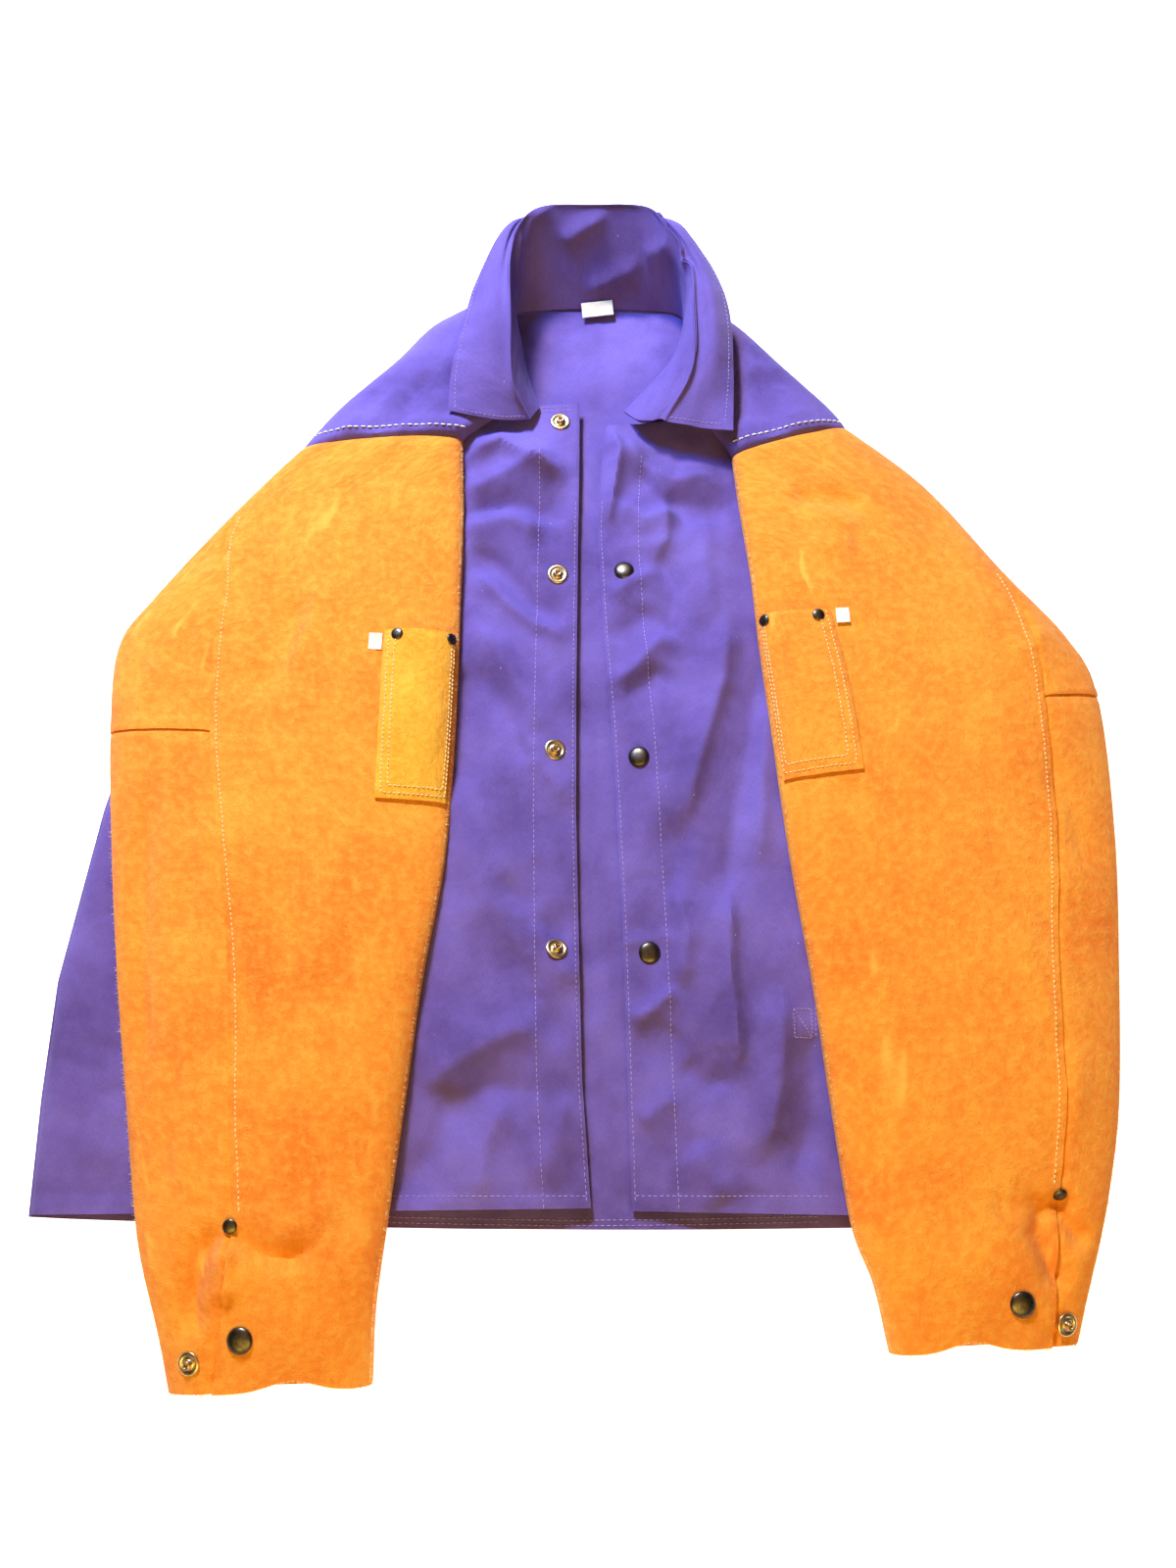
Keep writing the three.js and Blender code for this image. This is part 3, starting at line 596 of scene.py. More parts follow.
FRONT_SIDE = {
    "right": (
        (-383, 12), *((x + SIDE_INSET, y) for x, y in BACK_RIGHT[1:7]), (-198, 594), (-98, 640),
    ),
    "left": ((316, 10), *((x - SIDE_INSET, y) for x, y in BACK_LEFT[1:7]), (195, 602), (98, 636)),
}
FRONT_GRID = (118, 214)  # columns and rows
BACK_COLUMNS, BACK_ROWS = 150, 190
HEM_BOW = 6  # sag of the middle of the back hem
HEM_BAND = 8.0


def fold_x(side, y):
    (x0, y0), (x1, y1) = FOLD_LINE[side]
    return x0 + (x1 - x0) * (y - y0) / (y1 - y0)


RIGHT_FOLDS = (
    (((-106, 596), (-72, 610), (-36, 588), (-10, 574)), 3.2, 16, 9),
    (((-108, 562), (-80, 574), (-50, 590), (-20, 600)), 2.6, 10, 20),
    (((-104, 548), (-60, 556), (-14, 540)), -3.0, 14, 9),
    (((-106, 530), (-66, 541), (-30, 530)), 2.2, 9, 14),
    (((-98, 520), (-70, 498), (-46, 470), (-14, 446)), -3.4, 8, 15),
    (((-92, 500), (-62, 466), (-38, 448), (-12, 436)), 2.6, 12, 7),
    (((-96, 455), (-70, 428), (-44, 380), (-36, 350)), 1.9, 9, 13),
    (((-90, 420), (-62, 376), (-46, 330)), -1.8, 10, 14),
    (((-58, 372), (-34, 330), (-10, 300)), 1.6, 12, 9),
    (((-112, 330), (-90, 270), (-60, 200)), 1.6, 20, 12),
    (((-70, 250), (-40, 216), (-8, 196)), -1.8, 12, 10),
    (((-50, 236), (-26, 190), (-6, 160)), 1.6, 10, 12),
    (((-64, 206), (-44, 172), (-14, 120)), -1.6, 9, 14),
    (((-118, 90), (-86, 118), (-50, 136), (-20, 128)), 2.2, 18, 12),
    (((-104, 70), (-70, 96), (-34, 92)), -2.0, 14, 16),
    (((-74, 14), (-70, 60), (-52, 96)), 1.6, 12, 9),
    (((-130, 20), (-104, 60), (-96, 100)), -1.8, 12, 18),
    (((-36, 24), (-22, 60), (-14, 96)), 1.4, 10, 14),
)
LEFT_FOLDS = (
    (((18, 632), (26, 600), (20, 560), (16, 530)), 3.0, 6, 10),
    (((28, 624), (44, 590), (70, 575), (110, 584)), 2.6, 9, 16),
    (((30, 596), (60, 560), (98, 548), (128, 566)), -3.2, 12, 14),
    (((24, 560), (46, 540), (76, 548)), 2.4, 8, 12),
    (((52, 590), (64, 548), (62, 520), (48, 500)), 2.0, 7, 14),
    (((56, 520), (68, 480), (64, 430)), -2.0, 9, 16),
    (((98, 560), (92, 500), (100, 440)), 1.8, 12, 20),
    (((14, 470), (34, 486), (60, 500)), 1.8, 8, 10),
    (((14, 436), (38, 452), (56, 466)), -1.8, 8, 12),
    (((14, 396), (34, 410), (52, 430), (66, 446)), 2.2, 7, 11),
    (((26, 388), (46, 398), (60, 416)), -1.8, 10, 12),
    (((112, 470), (104, 400), (82, 330), (68, 270)), 3.2, 9, 18),
    (((134, 430), (126, 360), (112, 300), (98, 210)), -2.4, 14, 12),
    (((140, 400), (132, 330), (126, 250)), 2.0, 9, 14),
    (((76, 300), (62, 250), (52, 200), (60, 160)), -2.4, 9, 16),
    (((60, 250), (72, 205), (66, 160)), 2.0, 8, 12),
    (((104, 250), (102, 180), (106, 120), (98, 96)), 2.6, 6, 15),
    (((24, 198), (44, 200), (62, 208)), 1.4, 6, 8),
    (((26, 140), (46, 150), (66, 168)), 2.2, 7, 10),
    (((30, 118), (52, 124), (64, 138)), -2.0, 10, 9),
    (((64, 112), (84, 98), (104, 102)), -1.8, 9, 7),
    (((34, 70), (52, 84), (62, 92)), 1.4, 9, 12),
    (((140, 170), (134, 100), (118, 40)), 2.6, 10, 20),
    (((160, 140), (158, 80), (140, 30)), -2.4, 12, 12),
    (((74, 60), (90, 30), (96, 16)), 1.6, 12, 16),
)
FRONT_FOLDS = {"right": RIGHT_FOLDS, "left": LEFT_FOLDS}


def hem_band(y, foot, rise=0.7):
    """A turned hem stands a little proud up to its stitches."""
    return rise * ease((foot + HEM_BAND + 1.2 - y) / 2.4)


def front_height(side, x, y):
    sign = INWARD[side]
    from_side = sign * (x - outline_at(FRONT_SIDE[side], y))
    from_edge = sign * (outline_at(EDGE[side], y) - x)
    past_fold = np.maximum(0, sign * (x - fold_x(side, y)))
    top = FRONT_TOP - EDGE_FALL[side] * past_fold
    layer = 0 if side == "right" else 3
    inside = ease(from_side / 60)
    swell = 1.5 * billow(x, y, 74, layer) + 0.9 * billow(x * 1.4, y, 33, layer + 1)
    swell += 0.5 * billow(x, y, 14, layer + 2)
    swell += 0.25 * billow(x * 1.3, y, 8, layer + 4)
    top = top + (folds(x, y, FRONT_FOLDS[side], 1.4) * FOLD_DEPTH + swell - 0.6) * inside
    top = SAG_LIMIT + np.logaddexp(0, (top - SAG_LIMIT) / 1.5) * 1.5
    seam = np.abs(from_edge - STITCH_INSET)
    top += 0.8 * pucker(seam, y, layer + 1, reach=7, size=8)
    top += 0.35 * ease((STITCH_INSET + 1.5 - from_edge) / 3)
    top += hem_band(y, FRONT_HEM)
    top += 0.6 * pucker(y - FRONT_HEM - HEM_BAND, x, layer + 2, reach=9, size=9)
    edge_roll = ease(1 - from_edge / 3.0)
    top -= 1.0 * edge_roll**2
    roll = np.clip(from_side / SIDE_ROLL, 0, 1)
    rolled = SIDE_FOOT + (top - SIDE_FOOT) * np.sqrt(1 - (1 - roll) ** 2)
    return np.where(from_side < SIDE_ROLL, rolled, top)


def front_surface(side):
    return lambda x, y: np.stack([x, y, front_height(side, x, y)], axis=-1)


def span_grid(left, right, across, rows):
    """Positions between two outlines, whose rows go from the foot to the top of each."""
    left, right = np.asarray(left, float), np.asarray(right, float)
    v = np.linspace(0, 1, rows)
    yl = left[0, 1] + (left[-1, 1] - left[0, 1]) * v
    yr = right[0, 1] + (right[-1, 1] - right[0, 1]) * v
    u = np.linspace(0, 1, across)
    x = outline_at(left, yl)[:, None] * (1 - u) + outline_at(right, yr)[:, None] * u
    y = yl[:, None] * (1 - u) + yr[:, None] * u
    return x, y


def make_front(side):
    x, y = span_grid(FRONT_SIDE[side], EDGE[side], *FRONT_GRID)
    cloth = closed_sheet(side + "_front", front_surface(side)(x, y), COTTON)
    finish_piece(cloth, COTTON_FINISH, "blue_cotton", side + "_front_panel", side + "_front_flap")
    across_fold(cloth, side)


def across_fold(obj, side):
    """The span across a front's fold line, between the body and the turned-back edge. The cloth's placement
    is baked into its mesh.
    """
    (x0, y0), (x1, y1) = FOLD_LINE[side]
    middle = np.array([(x0 + x1) / 2, (y0 + y1) / 2, FRONT_TOP])
    across = np.array([y1 - y0, -(x1 - x0), 0.0])
    across *= INWARD[side] * FOLD_BEND / np.linalg.norm(across)
    blended(obj, "jacket_body", side + "_front", middle - across, middle + across)


BACK_FOLDS = (
    (((-52, 742), (-20, 720), (20, 722), (60, 740)), 2.0, 10, 14),
    (((-60, 716), (-30, 700), (10, 706)), -0.9, 14, 18),
    (((70, 730), (48, 700), (20, 690)), 1.8, 9, 16),
    (((-50, 690), (-10, 676), (40, 684)), 1.4, 16, 22),
    (((56, 706), (66, 670), (60, 640)), 2.0, 12, 9),
    (((-20, 650), (4, 600), (2, 560)), 1.2, 8, 12),
    (((6, 190), (20, 160), (4, 120)), 1.8, 7, 9),
)


def back_height(x, y):
    top = BACK_TOP + 1.4 + 1.1 * billow(x, y, 60, 5) + 0.4 * billow(x, y, 21, 6)
    top = top + folds(x, y, BACK_FOLDS)
    top = top + hem_band(y, BACK_HEM, 0.5) + 0.5 * pucker(y - BACK_HEM - HEM_BAND, x, 2, reach=8, size=9)
    top = np.maximum(top, BACK_TOP)
    side = np.minimum(x - outline_at(BACK_RIGHT, y), outline_at(BACK_LEFT, y) - x)
    near = ease(side / 30) * ease((757 - y) / 12)
    return BACK_TOP + (top - BACK_TOP) * near


def back_surface(x, y):
    return np.stack([x, y, back_height(x, y)], axis=-1)


x, y = span_grid(BACK_RIGHT, BACK_LEFT, BACK_COLUMNS, BACK_ROWS)
u = np.linspace(0, 1, BACK_COLUMNS)
bow = -HEM_BOW * 4 * u * (1 - u)
y = y + bow[None] * (1 - ease(np.linspace(0, 1, BACK_ROWS) / 0.1))[:, None]
back = closed_sheet("back", back_surface(x, y), COTTON)
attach(finish_piece(back, COTTON_FINISH, "blue_cotton", "back_panel"), "jacket_body")

for side in ("right", "left"):
    make_front(side)

# ---------------------------------------------------------------- facings and inside pocket
BAG_CORNER, BAG_SIZE = (150, 116), (138, 202)


def facing_grid(side, inset, drop):
    edge, sign = EDGE[side], INWARD[side]
    y = np.linspace(edge[0][1] + 1, edge[-2][1], 150)
    free = outline_at(edge, y) - sign * inset
    start = sign * np.maximum(sign * (fold_x(side, y) + sign * 2.0), sign * (free - sign * FACING_WIDTH))
    u = np.linspace(0, 1, 12)
    gx = start[:, None] * (1 - u) + free[:, None] * u
    gy = np.repeat(y[:, None], 12, axis=1)
    points = front_surface(side)(gx, gy)
    points[..., 2] -= drop
    return points


for side in ("right", "left"):
    facing = closed_sheet(side + "_facing", facing_grid(side, 2.0, COTTON + 0.5), LINING)
    finish_piece(facing, COTTON_FINISH, "blue_cotton", side + "_front_facing")
    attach(facing, side + "_front")

u = np.linspace(0, 1, 36)[None]
v = np.linspace(0, 1, 50)[:, None]
bag_x = BAG_CORNER[0] + BAG_SIZE[0] * u + 0 * v
bag_y = BAG_CORNER[1] + BAG_SIZE[1] * v + 0 * u
full = np.sin(math.pi * u) ** 0.5 * (1 - (1 - v) ** 5)
sag = 5.0 * full + 0.5 * billow(bag_x, bag_y, 24, 6) * full
bag_top = np.minimum(front_height("left", bag_x, bag_y) - COTTON - 0.4, 13.2) - sag
bag = closed_sheet("inside_pocket_bag", np.stack([bag_x, bag_y, bag_top], axis=-1), LINING)
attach(finish_piece(bag, COTTON_FINISH, "blue_cotton", "inside_pocket"), "jacket_body")

# ---------------------------------------------------------------- sleeves


def angle_of(share):
    side = 2 * share - 1
    return np.arccos(np.clip(-np.sign(side) * np.abs(side) ** (ARCH_POWER / 2), -1, 1))


def share_of(angle):
    side = -np.cos(angle)
    return (1 + np.sign(side) * np.abs(side) ** (2 / ARCH_POWER)) / 2


def base_at(y):
    return CUFF_BASE + (SLEEVE_BASE - CUFF_BASE) * ease((y + 105) / 99)


RIGHT_SLEEVE_FOLDS = (
    (((-214, 470), (-226, 440), (-236, 400), (-262, 372)), -2.4, 10, 16),
    (((-206, 480), (-208, 440), (-226, 392)), 1.8, 14, 10),
    (((-300, 500), (-282, 470), (-280, 430)), 1.4, 14, 16),
    (((-322, 330), (-320, 250), (-312, 160), (-300, 90)), -1.8, 9, 12),
    (((-338, 410), (-316, 398), (-290, 392)), 1.2, 10, 10),
    (((-190, 250), (-186, 200), (-196, 160)), 1.0, 14, 14),
    (((-160, 200), (-150, 120), (-152, 60)), 1.2, 16, 12),
    (((-236, 8), (-252, -10), (-258, -40), (-250, -66)), -3.8, 7, 9),
    (((-236, 6), (-218, -10), (-196, -14), (-176, -6)), -3.4, 8, 7),
    (((-232, 4), (-236, -18), (-232, -44)), 2.6, 8, 8),
    (((-204, 0), (-184, 12), (-162, 28)), 1.2, 9, 9),
    (((-256, 16), (-268, 36), (-276, 64)), 1.2, 9, 10),
)
LEFT_SLEEVE_FOLDS = (
    (((160, 560), (180, 545), (200, 548), (222, 536)), -2.2, 9, 12),
    (((168, 540), (192, 532), (214, 522)), 1.8, 8, 12),
    (((170, 512), (186, 505), (210, 508)), 1.2, 8, 10),
    (((356, 440), (338, 420), (316, 412)), 1.2, 12, 12),
    (((340, 345), (352, 300), (360, 240)), -1.2, 12, 12),
    (((300, 210), (316, 160), (322, 120)), 1.2, 18, 14),
    (((190, 240), (206, 170), (214, 110)), 1.0, 18, 16),
    (((308, 30), (318, 8), (330, -10)), -3.4, 7, 8),
    (((306, 28), (296, 2), (304, -22), (316, -34)), -3.6, 8, 8),
    (((306, 28), (286, 18), (262, 20)), -1.4, 8, 8),
    (((322, 60), (332, 90), (336, 130)), 1.2, 10, 10),
)


class Sleeve:
    """Rows of a flattened sleeve run from its outer fold to its inner one, from the cuff up.

    A row lists the x and y of both folds and the share of its width at which the long seam lies.
    The other places are a row and a share of it, and the pocket is two rows and two shares."""

    def __init__(self, side, sign, rows, seam_end, cuff_fold, pocket, tag, cap, stud, rivet, creases):
        rows = np.asarray(rows, float)
        self.side, self.sign = side, sign
        self.ends, self.seams = rows[:, :4], rows[:, 4:]
        self.last = len(rows) - 1
        self.seam_end, self.cuff_fold = seam_end, cuff_fold
        self.pocket, self.tag, self.cap, self.stud, self.rivet = pocket, tag, cap, stud, rivet
        self.creases = creases

    def width(self, row):
        e = through(self.ends, row)
        return np.hypot(e[..., 2] - e[..., 0], e[..., 3] - e[..., 1])

    def seam(self, row, gap=0.0):
        return np.clip(through(self.seams, row)[..., 0] + gap / self.width(row), 0, 1)

    def place(self, row, share):
        e = through(self.ends, row)
        share = np.asarray(share, float)[..., None]
        return e[..., :2] * (1 - share) + e[..., 2:] * share

    def loft(self, row):
        reach = np.asarray(row, float) / self.last
        high = 1 - 0.2 * np.clip((reach - 0.7) / 0.3, 0, 1)
        low = 1.05 - 0.05 * np.clip(np.asarray(row, float) / 2, 0, 1)
        return SLEEVE_LOFT * high * low

    def hem_rise(self, share):
        """The cut end of the cuff rises beside the slit."""
        return 7.0 * np.exp(-(((share - self.cuff_fold) / 0.16) ** 2)) - 1.0

    def relief(self, x, y):
        layer = 1 if self.sign < 0 else 4
        swell = 1.6 * billow(x, y, 86, layer) + 0.9 * billow(x, y * 0.8, 37, layer + 1)
        swell += 0.45 * billow(x, y, 15, layer + 2) + 0.2 * billow(x, y, 7, layer + 3)
        return folds(x, y, self.creases, 1.5) * 2.5 + swell - 0.8

    def surface(self, row, share):
        """A point on the upper face, at a row and a share of the width from the outer fold."""
        row, share = np.broadcast_arrays(np.asarray(row, float), np.asarray(share, float))
        p = self.place(row, share)
        x, y = p[..., 0], p[..., 1] + self.hem_rise(share) * ease(1 - row / 0.7)
        off = np.minimum(1, np.abs(2 * share - 1))
        rise = np.maximum(0, 1 - off**ARCH_POWER) ** (1 / ARCH_POWER)
        z = base_at(y) + self.loft(row) * rise + self.relief(x, y) * ease(rise * 1.2)
        tuck = ease((row - (self.last - 0.10)) / 0.10)
        from_seam = (share - through(self.seams, row)[..., 0]) * self.width(row)
        gathers = pucker(from_seam, row * 60, 6, reach=8, size=9) * ease((self.seam_end - row) * 2)
        z = z + (0.9 * gathers - 3.4 * tuck) * rise
        return np.stack([x, y, z], axis=-1)


SLEEVES = {
    "right": Sleeve(
        "right", -1,
        (
            (-275, -96, -142, -92, 0.25), (-286, -55, -141, -50, 0.335), (-303, 4, -136, -4, 0.413),
            (-319, 85, -127, 80, 0.396), (-335, 169, -118, 169, 0.387), (-350, 262, -105, 258, 0.343),
            (-362, 355, -101, 345, 0.31), (-364, 425, -100, 415, 0.3), (-341, 467, -100, 475, 0.24),
            (-288, 538, -100, 545, 0.04), (-234, 601, -103, 610, 0),
        ),
        seam_end=8.95, cuff_fold=0.64, pocket=(5.45, 7.27, 0.79, 0.985), tag=(7.1, 0.765),
        cap=(0.78, 0.42), stud=(0.46, 0.16), rivet=(2.08, 0.413), creases=RIGHT_SLEEVE_FOLDS,
    ),
    "left": Sleeve(
        "left", 1,
        (
            (323, -66, 199, -73, 0.176), (334, -28, 190, -32, 0.19), (352, 26, 177, 6, 0.225),
            (366, 82, 168, 82, 0.218), (378, 169, 160, 165, 0.225), (389, 277, 148, 262, 0.2),
            (390, 385, 139, 360, 0.187), (372, 433, 133, 425, 0.142), (330, 487, 129, 485, 0.04),
            (273, 565, 123, 540, 0), (213, 620, 118, 594, 0),
        ),
        seam_end=7.95, cuff_fold=0.61, pocket=(5.53, 7.38, 0.76, 0.985), tag=(7.3, 0.725),
        cap=(0.72, 0.36), stud=(0.35, 0.115), rivet=(2.08, 0.225), creases=LEFT_SLEEVE_FOLDS,
    ),
}
ELBOW_ROW = 6.0
FLAP_ROW = 1.8
ROW_LENGTH = 90.0  # from one row to the next, near the elbow
LAP, LAP_DEPTH = 6.0, LEATHER + 0.7  # how far one leather panel lies over the next, and above it
SLIT_DROP = 2.6  # how far the side panel sinks behind the cuff slit
FLAP_COLUMNS = 16
MAIN_COLUMNS = 92
FLAP_ROWS = 36


def share_on_line(sleeve, row, start, end):
    """Share of a row's width at which it crosses a straight line."""
    e = through(sleeve.ends, row)
    along = np.asarray(end) - np.asarray(start)
    dx, dy = e[..., 2] - e[..., 0], e[..., 3] - e[..., 1]
    ox, oy = start[0] - e[..., 0], start[1] - e[..., 1]
    return (ox * along[1] - oy * along[0]) / (dx * along[1] - dy * along[0])


def main_shares(sleeve, rows):
    """Shares of the main panel's columns. One column runs down the fold line of the cuff flap."""
    first = sleeve.seam(rows, 0.6) * (1 - ease((rows - sleeve.seam_end) / 0.3))
    tip = float(sleeve.seam(FLAP_ROW, 3.5))
    start = sleeve.place(0.0, sleeve.cuff_fold)
    end = sleeve.place(FLAP_ROW, tip)
    line = share_on_line(sleeve, np.minimum(rows, FLAP_ROW), start, end)
    wide = first + 0.02 + 0.14 * ease((rows - FLAP_ROW) / 2)
    crease = np.where(rows <= FLAP_ROW, line, line + (wide - line) * ease((rows - FLAP_ROW) / 0.6))
    crease = np.maximum(crease, first + 0.012)
    a0, a1, a2 = angle_of(first), angle_of(crease), np.full(len(rows), math.pi)
    left = a0[:, None] + (a1 - a0)[:, None] * np.linspace(0, 1, FLAP_COLUMNS + 1)
    rest = a1[:, None] + (a2 - a1)[:, None] * np.linspace(0, 1, MAIN_COLUMNS - FLAP_COLUMNS + 1)[1:]
    return share_of(np.concatenate([left, rest], axis=1))


def sleeve_uv(sleeve, rows, shares):
    """Flat-hide coordinates: across by the arc of the section, and along by the rows."""
    p = sleeve.surface(rows[:, None], shares)
    steps = np.linalg.norm(np.diff(p, axis=1), axis=-1)
    across = np.concatenate([np.zeros((len(rows), 1)), np.cumsum(steps, axis=1)], axis=1)
    middle = np.linalg.norm(np.diff(p[:, p.shape[1] // 2], axis=0), axis=-1)
    along = np.concatenate([[0], np.cumsum(middle)])
    apart = 3000 * (sleeve.sign + 2)  # each sleeve is cut from another part of the hide
    return np.stack([across * -sleeve.sign + apart, np.repeat(along[:, None], p.shape[1], axis=1)], axis=-1)


def lap_drop(distance):
    """A panel sinks below the one that laps over it."""
    return LAP_DEPTH * ease(1 + (distance - 2.0) / 7.0)


def armhole(obj, sleeve):
    """A span down a sleeve from the shoulder seam. The leather's placement is baked into its mesh."""
    seam = sleeve.surface(float(sleeve.last), 0.5)
    below = sleeve.surface(sleeve.last - 0.5, 0.5)
    down = below - seam
    down[2] = 0
    down *= ARMHOLE_BEND / np.linalg.norm(down)
    blended(obj, "jacket_body", sleeve.side + "_sleeve", seam, seam + down)


def cuff_turn(obj, sleeve):
    """A span across the fold between the sleeve and its cuff flap. The leather's placement is baked into
    its mesh.
    """
    start = sleeve.place(0.0, sleeve.cuff_fold)
    end = sleeve.place(FLAP_ROW, float(sleeve.seam(FLAP_ROW, 3.5)))
    along = end - start
    across = np.array([-along[1], along[0], 0.0])
    across *= CUFF_BEND / np.linalg.norm(across)
    outward = sleeve.place(0.5, 0.2) - start
    if across[:2] @ outward < 0:
        across = -across
    middle = np.append((start + end) / 2, 30.0)
    blended(obj, sleeve.side + "_sleeve", sleeve.side + "_cuff", middle, middle + 2 * across)


for side, sleeve in SLEEVES.items():
    body = side + "_sleeve"
    rows = np.concatenate(
        [np.linspace(0, FLAP_ROW, FLAP_ROWS + 1), np.linspace(FLAP_ROW, sleeve.last, 126)[1:]]
    )
    shares = main_shares(sleeve, rows)
    top = sleeve.surface(rows[:, None], shares)
    uv = sleeve_uv(sleeve, rows, shares)
    flap_cells = np.zeros((len(rows) - 1, MAIN_COLUMNS), bool)
    flap_cells[:FLAP_ROWS, :FLAP_COLUMNS] = True
    main = closed_sheet(side + "_sleeve_main", top, LEATHER, ~flap_cells, uv)
    armhole(finish_piece(main, SUEDE_FINISH, "split_leather", side + "_sleeve_main_panel"), sleeve)
    flap = closed_sheet(side + "_cuff_corner", top, LEATHER, flap_cells, uv)
    cuff_turn(finish_piece(flap, SUEDE_FINISH, "split_leather", side + "_cuff_flap"), sleeve)

    # Side panels, which sink under the main panel at the long seam and overlap at the elbow.
    for part, low, high, count in (
        ("lower", 0.0, ELBOW_ROW + 0.07, 130), ("upper", ELBOW_ROW, sleeve.seam_end + 0.25, 60),
    ):
        rows = np.linspace(low, high, count)
        inner = sleeve.seam(rows, LAP)
        angles = angle_of(inner)[:, None] * np.linspace(0, 1, 34)
        shares = share_of(angles)
        top = sleeve.surface(rows[:, None], shares)
        width = sleeve.width(rows)[:, None]
        over = (shares - sleeve.seam(rows)[:, None]) * width
        top[..., 2] -= lap_drop(over)
        above = (rows[:, None] - ELBOW_ROW) * ROW_LENGTH
        if part == "lower":
            top[..., 2] -= lap_drop(above)
            top[..., 2] -= SLIT_DROP * ease((FLAP_ROW + 0.2 - rows[:, None]) / 0.8) * ease(1 + over / 16)
        else:
            welt = np.exp(-((above - 3.4) / 3.2) ** 4)
            top[..., 2] += 1.1 * welt * ease(-over / 6 + 1)
        panel = closed_sheet(
            side + "_sleeve_side_" + part, top, LEATHER, None, sleeve_uv(sleeve, rows, shares) + 5000
        )
        finish_piece(panel, SUEDE_FINISH, "split_leather", side + "_sleeve_" + part + "_side")
        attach(panel, body)

    rows = np.linspace(0, sleeve.last, 120)
    shares = np.linspace(0.003, 0.997, 44)[None] + 0 * rows[:, None]
    p = sleeve.place(rows[:, None], shares)
    off = np.abs(2 * shares - 1)
    z = base_at(p[..., 1]) - 0.4 - 0.5 * ease((1 - off) * 12)
    under = closed_sheet(side + "_sleeve_under", np.dstack([p, z]), LEATHER)
    armhole(finish_piece(under, SUEDE_FINISH, "split_leather", side + "_sleeve_under_panel"), sleeve)

# ---------------------------------------------------------------- sleeve pockets
POCKET_WIDTH, POCKET_LENGTH = 84, 165


def pocket_surface(sleeve):
    low, high, outer, inner = sleeve.pocket

    def surface(u, v):
        """u runs from the outer side to the inner one, and v from the foot to the open top."""
        row = low + (high - low) * v
        share = share_of(angle_of(outer) + (angle_of(inner) - angle_of(outer)) * u)
        base = sleeve.surface(row, share)
        n = surface_normal(sleeve.surface, row, share, 0.02, 0.004)
        n = n * np.sign(n[..., 2:] + 1e-6)
        full = np.sin(math.pi * np.clip(u, 0, 1)) ** 0.5 * (1 - np.clip(1 - v, 0, 1) ** 5)
        stand = LEATHER + 0.2 + 6.2 * full + 0.5 * billow(u * 70, v * 150, 22, 3)
        return base + n * stand[..., None]

    return surface


pocket_faces = {}
for side, sleeve in SLEEVES.items():
    face = pocket_faces[side] = pocket_surface(sleeve)
    u, v = np.meshgrid(np.linspace(0, 1, 40), np.linspace(0, 1, 70))
    top = face(u, v)
    uv = np.stack([u * POCKET_WIDTH + 900 * sleeve.sign, v * POCKET_LENGTH], axis=-1)
    patch = closed_sheet(side + "_sleeve_patch", top, LEATHER, None, uv)
    finish_piece(
        patch, POCKET_FINISH if side == "right" else SUEDE_FINISH, "split_leather", side + "_sleeve_pocket"
    )
    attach(patch, side + "_sleeve")

# ---------------------------------------------------------------- shoulders
SHOULDERS = {
    "right": (
        ((-234, 601), (-204, 649), (-167, 690), (-136, 730), (-104, 752)),
        ((-103, 610), (-62, 650), (-68, 694), (-76, 728), (-80, 752)),
    ),
    "left": (
        ((213, 620), (199, 649), (165, 690), (132, 730), (106, 752)),
        ((118, 594), (92, 640), (92, 680), (96, 716), (97, 748)),
    ),
}
CRESTS = ((34,), (30,), (26,), (20,), (12,))
SHOULDER_FOLDS = {
    "right": (
        (((-150, 612), (-146, 640), (-128, 676)), -2.4, 8, 12),
        (((-176, 610), (-168, 636), (-150, 660)), 1.8, 8, 12),
        (((-118, 618), (-112, 650), (-110, 690)), -2.6, 6, 12),
        (((-200, 606), (-184, 630)), 1.5, 7, 8),
    ),
    "left": (
        (((150, 614), (150, 640), (136, 676)), -2.4, 12, 8),
        (((176, 618), (170, 640), (156, 660)), 1.8, 12, 8),
        (((128, 612), (124, 650), (116, 690)), -2.6, 12, 6),
    ),
}


def shoulder_surface(side):
    sleeve = SLEEVES[side]
    outer, inner = SHOULDERS[side]

    def surface(u, v):
        """u runs from the outline to the neckline, and v from the sleeve seam up."""
        u, v = np.broadcast_arrays(np.asarray(u, float), np.asarray(v, float))
        rows = v * 4
        a, b = through(outer, rows), through(inner, rows)
        p = a * (1 - u[..., None]) + b * u[..., None]
        x, y = p[..., 0], p[..., 1]
        crest = through(CRESTS, rows)[..., 0]
        fall = 1 - 0.35 * np.maximum(0, 2 * u - 1)
        top = np.maximum(crest * fall, FRONT_TOP + 2)
        width = np.linalg.norm(b - a, axis=-1)
        roll = np.clip(u * width / 26, 0, 1)
        own = SIDE_FOOT + (top - SIDE_FOOT) * np.sqrt(1 - (1 - roll) ** 2)
        seam = sleeve.surface(np.full(u.shape, float(sleeve.last)), u)[..., 2]
        joined = ease(v / 0.34)
        z = seam * (1 - joined) + own * joined
        z = z + 3.4 * ease(v / 0.016) * (1 - joined) * np.clip(roll, 0, 1)
        band = np.abs(v - 0.042) * 200
        relief = 1.4 * folds(x, y, SHOULDER_FOLDS[side], 1.5) + 1.0 * billow(x, y, 40, 2)
        relief = relief + 2.2 * pucker(band, u * width, 3, reach=14, size=9)
        z = z + relief * ease(roll * 1.3) * ease(v / 0.05)
        return np.stack([x, y, np.maximum(z, 2.6)], axis=-1)

    return surface


